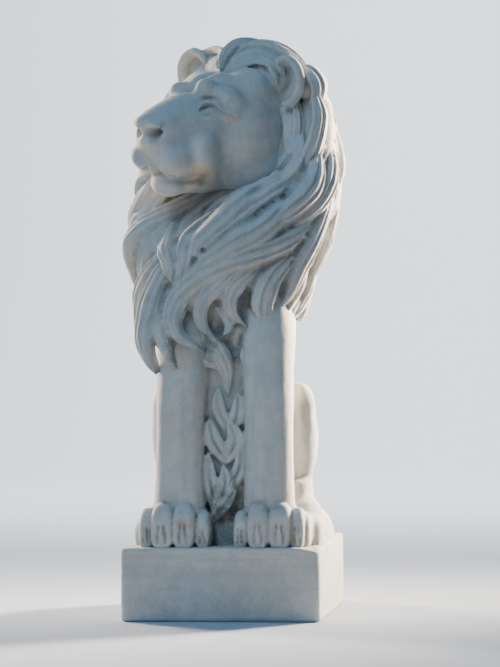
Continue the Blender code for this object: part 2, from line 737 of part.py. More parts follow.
def plinth_object(name):
    """The plinth block: round upright corners, then soft edges."""
    half_width = PLINTH_WIDTH / 2
    half_depth = PLINTH_DEPTH / 2
    corner = PLINTH_CORNER_RADIUS
    outline = []
    for quarter, (across, along) in enumerate(((1, 1), (-1, 1), (-1, -1), (1, -1))):
        middle = ((half_width - corner) * across, (half_depth - corner) * along)
        for turn in np.radians(np.linspace(0, 90, 4) + 90 * quarter):
            outline.append((middle[0] + corner * math.cos(turn), middle[1] + corner * math.sin(turn)))
    count = len(outline)
    points = [(x, y, 0.0) for x, y in outline] + [(x, y, PLINTH_HEIGHT) for x, y in outline]
    faces = [list(range(count))[::-1], list(range(count, 2 * count))]
    faces += [[i, (i + 1) % count, (i + 1) % count + count, i + count] for i in range(count)]
    made = mesh_object(name, points, faces)
    soften = made.modifiers.new("soft edges", "BEVEL")
    soften.width = PLINTH_EDGE_RADIUS
    soften.segments = 2
    soften.limit_method = "ANGLE"
    soften.angle_limit = math.radians(60)
    return made


def stone():
    material = bpy.data.materials.new("cast_stone")
    material.use_nodes = True
    shader = material.node_tree.nodes["Principled BSDF"]
    shader.inputs["Base Color"].default_value = STONE_COLOUR
    shader.inputs["Roughness"].default_value = STONE_ROUGHNESS
    shader.inputs["Metallic"].default_value = 0.0
    material.diffuse_color = STONE_COLOUR
    return material


def main():
    for old in list(bpy.data.objects):
        bpy.data.objects.remove(old)
    points, faces = figure()
    points, faces = thinned(points, faces, TRIANGLES_OF_FIGURE)
    points = points * (LION_HEIGHT / STEPS_TALL) + (0, 0, PLINTH_HEIGHT)
    lion = mesh_object("figure", points, faces.tolist())
    lion.hide_render = True
    lion.display_type = "WIRE"
    statue = plinth_object("lion_statue")
    join = statue.modifiers.new("one casting", "BOOLEAN")
    join.operation = "UNION"
    join.solver = "EXACT"
    join.object = lion
    statue.data.materials.append(stone())


main()
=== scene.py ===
"""Looks for the sitting lion of cast stone: its head, mane, body and plinth as fine carved meshes.

The figure is drawn in steps: the lion's height is STEPS_TALL of them, counted from the middle of the
plinth's top. The head has steps of its own, from the middle between its ears, looking along -Y, and is
turned into place as a whole. The lion faces -Y, with its left side at +X and its head turned towards -X.
"""

import math
import random

import bpy
import numpy as np
from bpy.props import FloatProperty, FloatVectorProperty, PointerProperty
from mathutils import Euler, Matrix, Vector
from mathutils.kdtree import KDTree
from mathutils.noise import noise as noise_at


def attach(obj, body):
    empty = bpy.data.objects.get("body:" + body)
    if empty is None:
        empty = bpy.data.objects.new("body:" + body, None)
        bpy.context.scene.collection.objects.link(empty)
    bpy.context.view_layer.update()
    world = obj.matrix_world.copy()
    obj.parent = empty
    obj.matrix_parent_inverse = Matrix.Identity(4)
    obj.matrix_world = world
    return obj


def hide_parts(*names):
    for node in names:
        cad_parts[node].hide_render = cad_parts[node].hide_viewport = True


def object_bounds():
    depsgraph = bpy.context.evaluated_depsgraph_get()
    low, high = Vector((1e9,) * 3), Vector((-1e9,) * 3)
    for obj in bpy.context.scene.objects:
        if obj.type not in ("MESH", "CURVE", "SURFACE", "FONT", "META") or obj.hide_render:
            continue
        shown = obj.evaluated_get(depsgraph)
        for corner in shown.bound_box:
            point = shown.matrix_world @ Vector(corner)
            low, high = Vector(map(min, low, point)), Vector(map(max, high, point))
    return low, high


bl_info = {
    "name": "Sitting Lion of Cast Stone",
    "version": (1, 0, 0),
    "blender": (4, 5, 0),
    "location": "3D View > Sidebar > Lion",
    "description": "Builds the lion's head, mane, body and plinth with their weathered stone",
    "category": "Object",
}

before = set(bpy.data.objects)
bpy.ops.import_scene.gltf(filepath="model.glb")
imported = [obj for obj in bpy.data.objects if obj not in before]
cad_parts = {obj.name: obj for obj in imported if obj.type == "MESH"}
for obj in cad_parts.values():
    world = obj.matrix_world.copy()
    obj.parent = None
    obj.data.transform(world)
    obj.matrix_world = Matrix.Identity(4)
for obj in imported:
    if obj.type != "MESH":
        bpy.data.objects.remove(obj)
CAD_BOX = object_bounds()

# How many steps the lion is tall over its plinth, and where the head's own middle lies
STEPS_TALL = 975
HEAD_PLACE = (15, 0, 916)

# How much further out the knee and the hind foot on each side are set, and how high the instep rises
KNEE_SPREAD = {-1: 0, 1: 7}
HIND_FOOT_SPREAD = {-1: 0, 1: 8}
INSTEP_RISE = {-1: 58, 1: 70}

# How much lower the brow and skull on the lion's right are carved, in steps, and its crown as a share
FAR_BROW_DROP = 12
FAR_CROWN_DROP = 0.35

# The eyes, in the head's steps: middle of the opening, how far its bulge reaches and stands out, and by how
# many degrees it faces outward
EYE_MIDDLE = (61, -119, -71)
EYE_REACH = 60
EYE_BULGE = 9
EYE_TURN = 47

# Lines of an eye in the order of carving: width, depth, below zero for a ridge, and places across, from its
# inner to its outer corner, and up
EYE_LINES = {
    "upper_lid": (
        4.2, -6, ((-34, 5), (-27, 13), (-16, 17), (-5, 14), (6, 4), (20, -2), (34, -5), (44, -7))
    ),
    "crease": (3.4, 3.5, ((-28, 22), (-14, 25), (0, 21), (14, 9), (30, 3))),
    "lower_lid": (3, -2.6, ((-29, -8), (-19, -11.5), (-6, -11.5), (6, -10), (18, -12))),
    "under_upper": (2.6, 8.5, ((-31, 3), (-25, 8), (-16, 11.5), (-7, 9), (3, -1), (17, -7), (32, -10))),
    "over_lower": (1.9, 3, ((-27, -3), (-18, -6.5), (-7, -6.5), (4, -6))),
}

# The middle of the eyeball and of the pupil, across and up
EYEBALL = (-13.0, 2.0)
PUPIL = (-15, 2.5)

# Rings carved round the iris and beside the eye: across, up, radius and depth
EYE_RINGS = ((*PUPIL, 8.5, 4), (28, 13, 6.5, 2.5))
RING_WIDTH = 1.8

# How near a carved line the skin is searched for
SKIN_REACH = 2.6

# Where the locks of the mane stop and those of the crown take over
CROWN_HEIGHT = 922

# The seed of the small differences between the locks, and how gradually they draw back at the face
LOCK_SEED = 4
FACE_EDGE_SOFTNESS = 14

# How deep the figure runs into the plinth, in steps
SEAT_DEPTH = 9

# How finely each skin is made, in steps and for the plinth in metres, and the most triangles of a piece
BROAD_HEAD_VOXEL = 3.0
FEATURE_VOXEL = 2.4
EYE_VOXEL = 1.7
HEAD_SKIN_VOXEL = 1.7
MANE_VOXEL = 2.3
BROAD_BODY_VOXEL = 5.0
BODY_VOXEL = 2.4
PLINTH_VOXEL = 0.0035
MOST_TRIANGLES = 190000

# Level rings of the mane's ground form: height, middle x and y, half width and half depth
MANE_RINGS = (
    (340, -12, -62, 104, 62),
    (380, -14, -56, 124, 84),
    (430, -17, -44, 136, 104),
    (500, -14, -32, 155, 120),
    (560, -10, -20, 174, 130),
    (620, -2, -10, 185, 136),
    (680, 8, 0, 191, 140),
    (740, 13, 12, 186, 140),
    (790, 19, 26, 168, 136),
    (840, 25, 38, 146, 122),
    (885, 30, 46, 120, 102),
    (920, 32, 48, 88, 76),
    (942, 30, 48, 44, 40),
)

# The locks on the chest: half width, lift, and the route from root to tip as angles from the front, towards
# the lion's left, and heights, with an extra lift where a place has a third number
FRONT_LOCKS = (
    (30, 8, (-34, 560), (-56, 505), (-72, 455, 4), (-76, 405, 12), (-70, 366, 18)),
    (32, 11, (-30, 552), (-43, 490, 6), (-48, 437, 26), (-49, 391, 46), (-45, 352, 52)),
    (22, 14, (-42, 606), (-31, 545), (-29, 496)),
    (20, 8, (-30, 470, 10), (-36, 425, 34), (-33, 385, 46), (-28, 360, 48)),
    (34, 11, (66, 622), (34, 565), (5, 531), (-17, 492), (-27, 450, 14), (-24, 408, 30), (-6, 378, 22)),
    (25, 10, (40, 560), (15, 530), (1, 493), (-9, 455), (-7, 413), (8, 380)),
    (24, 8, (34, 548), (20, 511), (12, 477), (14, 443), (27, 414)),
    (32, 10, (52, 560), (39, 511), (36, 465), (38, 431), (31, 402)),
    (26, 13, (74, 680), (65, 592), (59, 534), (57, 488), (51, 450)),
    (26, 9, (92, 680), (86, 605), (84, 542), (82, 494)),
    (26, 7, (88, 560), (84, 500), (79, 460), (72, 424)),
    (38, 14, (14, 700), (7, 655), (-2, 605), (-11, 565), (-8, 546)),
    (34, 12, (38, 650), (26, 600), (8, 560), (-7, 530), (-16, 505)),
    (34, 7, (-22, 690), (-48, 632), (-72, 586), (-82, 540), (-78, 484)),
    (30, 8, (-8, 640), (-18, 585), (-19, 535), (-27, 486)),
    (15, 6, (2, 455), (12, 420), (5, 396)),
    (26, 2, (-12, 412), (2, 370), (8, 330), (10, 278)),
    (20, 6, (-34, 412), (-30, 374), (-14, 355), (2, 336)),
    (18, 5, (38, 406), (27, 372), (24, 342)),
    (30, 8, (58, 750), (52, 684), (38, 632), (22, 588)),
    (28, 7, (74, 770), (68, 705), (60, 650), (46, 604)),
    (26, 5, (-62, 730), (-74, 682), (-84, 636)),
)

# Short fur on the face: where its lie starts, in the head's steps, how wide and short its strands are,
# how strong they are, and where they fade out towards the bare nose
FUR_START = (0, -230, -90)
FUR_SPREAD = 150
FUR_SHORTNESS = 3
FUR_STRENGTH = 0.45
FUR_BARE_BEFORE = 215
FUR_FADE = 60

# The toes of a forepaw and a hind foot: how far across, how far forward, half width and height
TOE_PLACES = ((144, -204, 15, 74), (112, -219, 23, 83), (71, -219, 22, 84), (36, -204, 15, 68))
HIND_TOE_PLACES = ((124, -186, 14, 60), (146, -190, 15, 66), (165, -150, 12, 52))

# A toe from its root to its front: how far behind the front, and its height and width as shares
TOE_PROFILE = ((96, 0.55, 0.9), (60, 0.9, 1), (34, 1, 1), (16, 0.94, 0.98), (4, 0.76, 0.86), (0, 0.52, 0.6))

# The carved ribs of the leaves and scratches of the claws: width and depth, how far a scratch bows out as a
# share of the toe's half width, and its places as shares of the bow and of the toe's height
RIB_WIDTH = 2.4
RIB_DEPTH = 3.2
CLAW_BOW = 0.34
CLAW_SCRATCH = ((0.55, 0.52), (1.0, 0.3), (0.85, 0.08))

# The leaves between the forelegs: how far before the figure's middle their panel lies, and for each leaf,
# from the back to the front, its half width, its step forward and its base, middle and tip across and up
LEAF_PLANE = 131
LEAVES = (
    (14, 0, (4, 218), (-11, 262), (-12, 302)),
    (14, 0, (14, 212), (25, 252), (27, 294)),
    (17, 5, (4, 156), (-22, 202), (-29, 243)),
    (18, 5, (0, 158), (22, 198), (7, 240)),
    (14, 8, (-8, 92), (27, 140), (33, 190)),
    (14, 10, (-20, 66), (-27, 126), (-32, 177)),
    (16, 14, (-22, 58), (2, 110), (-2, 155)),
    (13, 17, (-26, 46), (2, 78), (24, 108)),
)

# The tiers of locks round the mane: how far apart, long, wide and thick, and how high over the fringe
TIER_RISES = (0, 92, 184, 276, 368, 460)
TIER_SPACING = 20
TIER_LENGTH = 210
TIER_HALF_WIDTH = 34
TIER_THICKNESS = 22

# Where the tiers leave room for the locks on the chest: middle and reach in degrees, and up to which rise
CHEST_MIDDLE = 2
CHEST_REACH = 40
CHEST_RISE = 100

# Strands on the mane's ground form: steps to a degree round it, and how strong they are
STEPS_PER_DEGREE = 3
GROUND_STRENGTH = 0.8

# How much the tiers sink under the front locks, and how thick those are
FRONT_SINK = 8
FRONT_THICKNESS = 27

# How much the skin sinks between the locks, and from which share of their half width
VALLEY_DEPTH = 7
VALLEY_START = 0.5
VALLEY_ROUNDS = 8

# The stone's wear: its depth in metres, how many bumps to a metre, broad and fine, how high over the ground
# it sets in, and the plinth's worn corner
WEAR_DEPTH = 0.0014
WEAR_BROAD = 16
WEAR_FINE = 70
UNWORN_FOOT = 0.02
WORN_CORNER = (0.19, -0.23, 0.14)
WORN_CORNER_RADIUS = 0.03
WORN_CORNER_PUSH = (-0.002, 0.003, -0.007)

# What a point of clay keeps about its place in the hair, by column
ACROSS = 0
ALONG = 1
LOCK = 2
STRENGTH = 3
HALF_WIDTH = 4
WAY_ACROSS = slice(5, 8)
WAY_ALONG = slice(8, 11)
HAIR_COLUMNS = 11

# How many sides a band has, such as a lock, a leaf or the tail
BAND_SIDES = 34

# The half width that stands for hair without an edge
NO_EDGE = 1000

# Where strands fade at the edge of their lock, as shares of its half width, and how they settle between
# locks: the least share of neighbours on the same lock, and rounds of smoothing
STRAND_EDGE = 1.02
STRAND_FADE = 0.3
LEAST_AGREED = 0.75
AGREED_ROUNDS = 3

# How the masks of grooves and ridges are found: rounds of smoothing, the depth in metres that counts as
# full, and the shares of fine and broad grooves
FINE_RELIEF_ROUNDS = 6
BROAD_RELIEF_ROUNDS = 60
FINE_GROOVE_DEPTH = 0.0012
BROAD_GROOVE_DEPTH = 0.006
FINE_GROOVE_SHARE = 0.6
BROAD_GROOVE_SHARE = 0.8

# How strongly each effect shows in the stone's colour
BLOTCH_SHARE = 0.55
RIDGE_SHARE = 0.5
GAP_SHARE = 0.3
STREAK_SHARE = 0.65
ROUGH_SHARE = 0.55
# The dirt share darkens the grooves both as dirt and as painted shade
DIRT_AND_SHADE_SHARE = 0.8
# How dark the pinholes are painted: painted shade inside them
HOLE_SHADE_SHARE = 0.75
STAIN_SHARE = 0.7

# How high each effect stands in the stone's fine relief, in millimetres
GRAIN_HEIGHT = 0.35
BLOTCH_HEIGHT = 0.5
STRAND_HEIGHT = 3.0
HOLE_DEPTH = 1.6
MILLIMETRE = 0.001

# How much the stone mirrors, and how much its roughness varies with the grain, down and up
SPECULAR_LEVEL = 0.25
SMOOTHER_GRAIN = 0.08
ROUGHER_GRAIN = 0.06

# Streaks to a metre across, along and up: upright on the figure and level on the plinth
UPRIGHT_STREAKS = (30.0, 30.0, 2.0)
LEVEL_STREAKS = (3.0, 3.0, 55.0)

# The pits of stippled places: their spacing and greatest radius in metres, and how many places have one
PITS = {"Spacing": 0.0042, "Share": 0.6, "Radius": 0.0016}

# Brown and tan stains: place and radius in metres, and colour
BROWN = (0.42, 0.29, 0.16)
TAN = (0.70, 0.50, 0.27)
THROAT_STAINS = (((-0.036, -0.137, 0.838), 0.045, TAN), ((-0.02, -0.15, 0.80), 0.03, TAN))
HEAD_STAINS = (
    *THROAT_STAINS,
    ((-0.12, -0.20, 0.905), 0.016, BROWN),
    ((-0.02, -0.105, 0.945), 0.018, BROWN),
    ((-0.14, -0.19, 0.83), 0.012, BROWN),
)
PAW_STAINS = (
    ((-0.073, -0.215, 0.18), 0.017, BROWN),
    ((-0.11, -0.212, 0.165), 0.012, BROWN),
    ((0.10, -0.208, 0.215), 0.010, BROWN),
    ((-0.08, -0.18, 0.49), 0.02, TAN),
)

# Stippled dark places between the paws, and on the lowest tips of the mane: place and radius in metres
ROUGH_PLACES = (((0.005, -0.155, 0.165), 0.055), ((0.0, -0.13, 0.22), 0.05))
DIRTY_TIPS = (
    ((-0.085, -0.175, 0.505), 0.03),
    ((-0.03, -0.165, 0.52), 0.028),
    ((0.035, -0.15, 0.53), 0.02),
)

# The pale paper floor, in metres: where it starts before the lion, its half width, how far back it bends up
# into a wall, the radius of the bend and the wall's height
FLOOR_START = -10
FLOOR_HALF_WIDTH = 12
WALL_Y = 8.5
BEND = 3.0
WALL_HEIGHT = 8
PAPER_COLOUR = (0.46, 0.50, 0.56, 1)
PAPER_ROUGHNESS = 0.9

# The lights, named as their powers are: place, what they point at, size, colour and spread in degrees
LIGHTS = {
    "warm_light": ((2.2, 2.3, 1.4), (0, 0, 0.75), 0.8, (1.0, 0.88, 0.72), 40),
    "rim_light": ((-2.4, 1.9, 1.5), (0, 0, 0.6), 0.8, (1.0, 0.84, 0.66), 60),
    "cool_light": ((-1.2, -2.2, 3.6), (0, 0, 0.5), 2.2, (0.38, 0.66, 1.0), 180),
    "wall_light": ((0, 3.4, 5.0), (0, WALL_Y - 1, 1.5), 3.0, (1.0, 0.97, 0.92), 180),
}
SKY_COLOUR = (0.34, 0.62, 1.0, 1)

# The camera: place in metres, yaw, pitch and roll in degrees, and its focal length in pixels of the
# photograph, whose height and the camera's sensor give the lens
CAMERA_PLACE = (0.834, -6.23, 0.559)
CAMERA_ANGLES = (7.33, -0.16, 0.51)
FOCAL_PIXELS = 3226
PHOTO_HEIGHT = 667
SENSOR_HEIGHT = 36


# Modelling tools


class Clay:
    """Closed shapes gathered as points and triangles, to be joined into one skin.

    Each point keeps its place in the hair in columns: how far across and along its lock it lies, the lock's
    number, how strong the strands are, the lock's half width, and the directions across and along.
    """

    def __init__(self):
        self.points = []
        self.faces = []
        self.hair = []
        self.count = 0
        self.locks = 0

    def add(self, points, faces, hair=None):
        self.points.append(np.asarray(points, float))
        self.faces.append(np.asarray(faces) + self.count)
        self.hair.append(np.zeros((len(points), HAIR_COLUMNS)) if hair is None else hair)
        self.count += len(points)

    def all_points(self):
        return np.concatenate(self.points)

    def all_faces(self):
        return np.concatenate(self.faces)

    def all_hair(self):
        return np.concatenate(self.hair)

    def join(self, other):
        self.add(other.all_points(), other.all_faces(), other.all_hair())


def curve_through(points, count):
    """Rows along a smooth curve through the given rows."""
    points = np.asarray(points, float)
    spans = len(points) - 1
    places = np.linspace(0, spans, count)
    index = np.minimum(places.astype(int), spans - 1)
    part = (places - index)[:, None]
    first = 2 * points[0] - points[1]
    last = 2 * points[-1] - points[-2]
    padded = np.vstack([first, points, last])
    before, start, end, after = (padded[index + step] for step in range(4))
    bend = 2 * before - 5 * start + 4 * end - after
    twist = 3 * start - before - 3 * end + after
    return 0.5 * (2 * start + (end - before) * part + bend * part**2 + twist * part**3)


def unit(vectors):
    return vectors / np.maximum(np.linalg.norm(vectors, axis=-1, keepdims=True), 1e-9)


def squared_round(sides, power):
    """Places across and along round a ring that reaches one each way, squarer for a smaller power."""
    turns = np.linspace(0, 2 * np.pi, sides, endpoint=False)
    across = np.sign(np.cos(turns)) * np.abs(np.cos(turns)) ** power
    along = np.sign(np.sin(turns)) * np.abs(np.sin(turns)) ** power
    return across, along


def add_loft(clay, loops, hair=None):
    """A closed body from loops of points, one after another."""
    rows, sides, _ = loops.shape
    ring = np.arange(sides)
    first = np.arange(rows - 1)[:, None] * sides
    here = (first + ring).ravel()
    beside = (first + (ring + 1) % sides).ravel()
    fan = np.arange(1, sides - 1)
    last = (rows - 1) * sides
    faces = (
        np.stack([here, beside, beside + sides], axis=1),
        np.stack([here, beside + sides, here + sides], axis=1),
        np.stack([0 * fan, fan + 1, fan], axis=1),
        np.stack([last + 0 * fan, last + fan, last + fan + 1], axis=1),
    )
    clay.add(loops.reshape(-1, 3), np.concatenate(faces), hair)


def add_blob(clay, middle, radii, lean=(0, 0, 0), sides=24):
    """An ellipsoid, leant by degrees about x, y and z."""
    heights = np.linspace(-0.985, 0.985, sides // 2)
    turns = np.linspace(0, 2 * np.pi, sides, endpoint=False)
    heights = np.sin(heights * np.pi / 2)
    across = np.sqrt(1 - heights**2)
    loops = np.empty((len(heights), sides, 3))
    loops[:, :, 0] = across[:, None] * np.cos(turns)
    loops[:, :, 1] = across[:, None] * np.sin(turns)
    loops[:, :, 2] = heights[:, None]
    turn = np.array(Euler([math.radians(angle) for angle in lean]).to_matrix())
    add_loft(clay, (loops * radii) @ turn.T + middle)


def add_limb(clay, rings, squareness=2.4, sides=24):
    """An upright limb from level rings: middle x, y and z, half width and half depth."""
    rows = curve_through(rings, 4 * len(rings))
    across, along = squared_round(sides, 2 / squareness)
    loops = np.empty((len(rows), sides, 3))
    loops[:, :, 0] = rows[:, 0, None] + rows[:, 3, None] * across
    loops[:, :, 1] = rows[:, 1, None] + rows[:, 4, None] * along
    loops[:, :, 2] = rows[:, 2, None]
    add_loft(clay, loops)


def add_band(clay, points, outward, widths, heights, strands=0, strand_depth=0.0, hair=1.0):
    """A tapering band on a surface: a lens across, with its ridge outward and grooves between strands."""
    sides = BAND_SIDES
    along = unit(np.gradient(points, axis=0))
    outward = unit(outward - along * (outward * along).sum(axis=1, keepdims=True))
    across = np.cross(along, outward)
    turns = np.linspace(0, 2 * np.pi, sides, endpoint=False)
    reach = np.cos(turns)
    rise = np.where(np.sin(turns) > 0, np.sin(turns), 0.7 * np.sin(turns))
    if strands:
        groove = 1 - strand_depth * (0.5 - 0.5 * np.cos(strands * np.pi * (reach + 1)))
        rise = np.where(rise > 0, rise * groove, rise)
    loops = (
        points[:, None, :]
        + across[:, None, :] * (widths[:, None] * reach)[:, :, None]
        + outward[:, None, :] * (heights[:, None] * rise)[:, :, None]
    )
    clay.locks += 1
    run = np.linalg.norm(np.diff(points, axis=0), axis=1)
    narrow = np.clip(widths.max() / widths, 1, 3)
    flow = np.empty((len(points), sides, HAIR_COLUMNS))
    flow[:, :, ACROSS] = widths.max() * reach
    flow[:, :, ALONG] = np.concatenate([[0], np.cumsum(run)])[:, None]
    flow[:, :, LOCK] = clay.locks
    flow[:, :, STRENGTH] = hair
    flow[:, :, HALF_WIDTH] = widths.max()
    flow[:, :, WAY_ACROSS] = (across * narrow[:, None])[:, None, :]
    flow[:, :, WAY_ALONG] = along[:, None, :]
    add_loft(clay, loops, flow.reshape(-1, HAIR_COLUMNS))


def outer_shell(points, faces):
    """Leaves out the sealed pockets inside: only what is linked to the lowest point stays."""
    label = np.arange(len(points))
    while True:
        lowest = label[faces].min(axis=1)
        fresh = label.copy()
        np.minimum.at(fresh, faces.ravel(), np.repeat(lowest, 3))
        fresh = fresh[fresh]
        if (fresh == label).all():
            break
        label = fresh
    kept = label[faces[:, 0]] == label[points[:, 2].argmin()]
    used = np.unique(faces[kept])
    index = np.full(len(points), -1)
    index[used] = np.arange(len(used))
    return points[used], index[faces[kept]]


def mesh_object(name, points, faces):
    """An object from points and faces; triangles in an array are set in one go."""
    mesh = bpy.data.meshes.new(name)
    if isinstance(faces, np.ndarray):
        mesh.vertices.add(len(points))
        mesh.vertices.foreach_set("co", points.astype(np.float32).ravel())
        mesh.loops.add(faces.size)
        mesh.loops.foreach_set("vertex_index", faces.astype(np.int32).ravel())
        mesh.polygons.add(len(faces))
        mesh.polygons.foreach_set("loop_start", np.arange(0, faces.size, 3, dtype=np.int32))
        mesh.update(calc_edges=True)
    else:
        mesh.from_pydata([tuple(point) for point in points], [], faces)
    made = bpy.data.objects.new(name, mesh)
    bpy.context.scene.collection.objects.link(made)
    return made


def shape_of(made):
    """The points and triangles of an object with its modifiers, and the object is removed."""
    bpy.context.view_layer.update()
    evaluated = made.evaluated_get(bpy.context.evaluated_depsgraph_get())
    mesh = bpy.data.meshes.new_from_object(evaluated)
    mesh.calc_loop_triangles()
    points = np.empty(len(mesh.vertices) * 3, np.float32)
    mesh.vertices.foreach_get("co", points)
    faces = np.empty(len(mesh.loop_triangles) * 3, dtype=np.int32)
    mesh.loop_triangles.foreach_get("vertices", faces)
    old = made.data
    bpy.data.objects.remove(made)
    bpy.data.meshes.remove(old)
    bpy.data.meshes.remove(mesh)
    return points.reshape(-1, 3).astype(float), faces.reshape(-1, 3)


def skinned(clay, voxel, rounds):
    """One skin round all the shapes of the clay, smoothed so that they run into each other."""
    made = mesh_object("clay", clay.all_points(), clay.all_faces())
    remesh = made.modifiers.new("skin", "REMESH")
    remesh.mode = "VOXEL"
    remesh.voxel_size = voxel
    if rounds:
        smooth = made.modifiers.new("soften", "SMOOTH")
        smooth.factor = 0.5
        smooth.iterations = rounds
    points, faces = shape_of(made)
    return outer_shell(points, faces)


def thinned(points, faces):
    """The same skin with no more triangles than a piece may have."""
    if len(faces) <= MOST_TRIANGLES:
        return points, faces
    made = mesh_object("thinned", points, faces)
    thin = made.modifiers.new("thin", "DECIMATE")
    thin.ratio = MOST_TRIANGLES / len(faces)
    return shape_of(made)


def normals_of(points, faces):
    corners = points[faces]
    across = np.cross(corners[:, 1] - corners[:, 0], corners[:, 2] - corners[:, 0])
    sums = np.empty_like(points)
    for column in range(3):
        weights = np.repeat(across[:, column], 3)
        sums[:, column] = np.bincount(faces.ravel(), weights, len(points))
    return unit(sums)


def nearest_on(points, line):
    """Each point's distance from a line of points, and how far along the line its nearest place is."""
    best = np.full(len(points), np.inf)
    place = np.zeros(len(points))
    for index in range(len(line) - 1):
        start = line[index]
        run = line[index + 1] - start
        part = np.clip((points - start) @ run / max(run @ run, 1e-9), 0, 1)
        gap = np.linalg.norm(points - start - part[:, None] * run, axis=1)
        closer = gap < best
        best[closer] = gap[closer]
        place[closer] = (index + part[closer]) / (len(line) - 1)
    return best, place


def carve(points, faces, line, width, depth):
    """Sinks a groove of a depth along a line, or raises a ridge where the depth is below zero."""
    carve_on(points, faces, curve_through(line, 24), width, depth)


def carve_on(points, faces, places, width, depth):
    """A groove or ridge along places that already lie close together."""
    reach = 4 * width
    inside = (points > places.min(axis=0) - reach) & (points < places.max(axis=0) + reach)
    near = np.flatnonzero(inside.all(axis=1))
    gap, place = nearest_on(points[near], places)
    fade = np.minimum(1, 8 * np.minimum(place, 1 - place) + 0.35)
    push = depth * fade * np.exp(-((gap / width) ** 2))
    points[near] -= normals_of(points, faces)[near] * push[:, None]


def both(place, side):
    """A place on the right side of the figure or, mirrored, on the left."""
    return (side * place[0], *place[1:])


# Body and limbs


def add_torso(clay):
    add_blob(clay, (0, -25, 400), (112, 98, 150))
    add_blob(clay, (0, 45, 310), (112, 112, 190), lean=(18, 0, 0))
    add_blob(clay, (0, 108, 130), (128, 98, 150))
    add_limb(clay, ((0, -10, -SEAT_DEPTH, 96, 92), (0, 0, 150, 98, 92), (0, 0, 330, 98, 90)))
    add_limb(clay, ((0, 120, -SEAT_DEPTH, 120, 84), (0, 122, 60, 122, 84), (0, 112, 140, 110, 80)))


def add_foreleg(clay, side):
    add_limb(
        clay,
        (
            (side * 88, -154, 34, 52, 50),
            (side * 86, -146, 90, 49, 47),
            (side * 85, -138, 180, 47, 48),
            (side * 84, -128, 270, 48, 54),
            (side * 82, -112, 340, 50, 62),
            (side * 78, -80, 420, 54, 76),
            (side * 72, -50, 500, 50, 74),
        ),
    )


def add_toe(clay, across, front, half_width, height):
    """A loaf-shaped toe, square in section and high at the knuckle, with a small claw low on its front."""
    rows = curve_through(TOE_PROFILE, 18)
    wide, rise = squared_round(24, 0.72)
    loops = np.empty((len(rows), len(wide), 3))
    tops = height * rows[:, 1]
    loops[:, :, 0] = across + half_width * rows[:, 2, None] * wide
    loops[:, :, 1] = front + rows[:, 0, None]
    loops[:, :, 2] = (tops - SEAT_DEPTH)[:, None] / 2 + ((tops + SEAT_DEPTH) / 2)[:, None] * rise
    add_loft(clay, loops)
    add_blob(clay, (across, front + 2, 0.3 * height), (0.3 * half_width, 7, 0.17 * height), lean=(14, 0, 0))


def add_forepaw(clay, side):
    add_limb(
        clay,
        (
            (side * 89, -148, -SEAT_DEPTH, 62, 52),
            (side * 89, -150, 30, 62, 50),
            (side * 88, -150, 70, 54, 46),
        ),
    )
    for across, front, half_width, height in TOE_PLACES:
        add_toe(clay, side * across, front, half_width, height)


def add_hind_leg(clay, side):
    """Thigh, bent knee and shin, and the long foot with its toes beside the forepaw."""
    add_blob(clay, (side * 94, 76, 178), (56, 112, 126), lean=(-12, 0, 0))
    knee = KNEE_SPREAD[side]
    add_blob(clay, (side * (122 + knee), -18, 205), (38, 56, 104), lean=(8, 0, 0))
    add_blob(clay, (side * (126 + knee), -24, 258), (32, 44, 50))
    add_limb(
        clay,
        (
            (side * 118, -10, -SEAT_DEPTH, 46, 70),
            (side * 118, -10, 50, 40, 66),
            (side * 122, -15, 120, 32, 56),
        ),
    )
    add_blob(clay, (side * 139, 72, 0), (48, 124, 64))
    spread = HIND_FOOT_SPREAD[side]
    add_blob(clay, (side * (130 + spread), -60, 22), (43, 84, INSTEP_RISE[side]), lean=(0, side * 8, 0))
    add_blob(clay, (side * (133 + spread), -58, 0), (45, 94, 38))
    for across, front, half_width, height in HIND_TOE_PLACES:
        add_toe(clay, side * (across + spread), front, half_width, height)


def add_tail(clay):
    route = ((-10, 196, 40), (-60, 203, 22), (-120, 196, 20), (-158, 172, 22), (-168, 130, 30))
    points = curve_through(route, 20)
    share = np.linspace(0, 1, len(points))
    radii = 13 + 9 * np.exp(-(((share - 0.86) / 0.12) ** 2))
    radii[-1] = 4
    upward = np.tile((0.0, 0.0, 1.0), (len(points), 1))
    add_band(clay, points, upward, radii, radii)


def leaf_line(forward, base, middle, tip):
    """The middle line of a leaf, bent forward from its base."""
    route = ((base[0], 4, base[1]), (middle[0], -7, middle[1]), (tip[0], -5, tip[1]))
    points = curve_through(route, 24)
    points[:, 1] -= LEAF_PLANE + forward
    return points


def carve_details(points, faces):
    """The ribs of the leaves and the scratches round the claws."""
    ahead = np.array((0.0, -1.0, 0.0))
    for half_width, forward, base, middle, tip in LEAVES:
        rib = on_skin(points, leaf_line(forward, base, middle, tip)[4:-2], ahead)
        carve_on(points, faces, rib, RIB_WIDTH, RIB_DEPTH)
    for side in (-1, 1):
        for across, front, half_width, height in TOE_PLACES:
            for bow in (-CLAW_BOW * half_width, CLAW_BOW * half_width):
                line = [(side * across + bow * wide, front, up * height) for wide, up in CLAW_SCRATCH]
                claw = on_skin(points, curve_through(line, 12), ahead)
                carve_on(points, faces, claw, RIB_WIDTH, RIB_DEPTH)


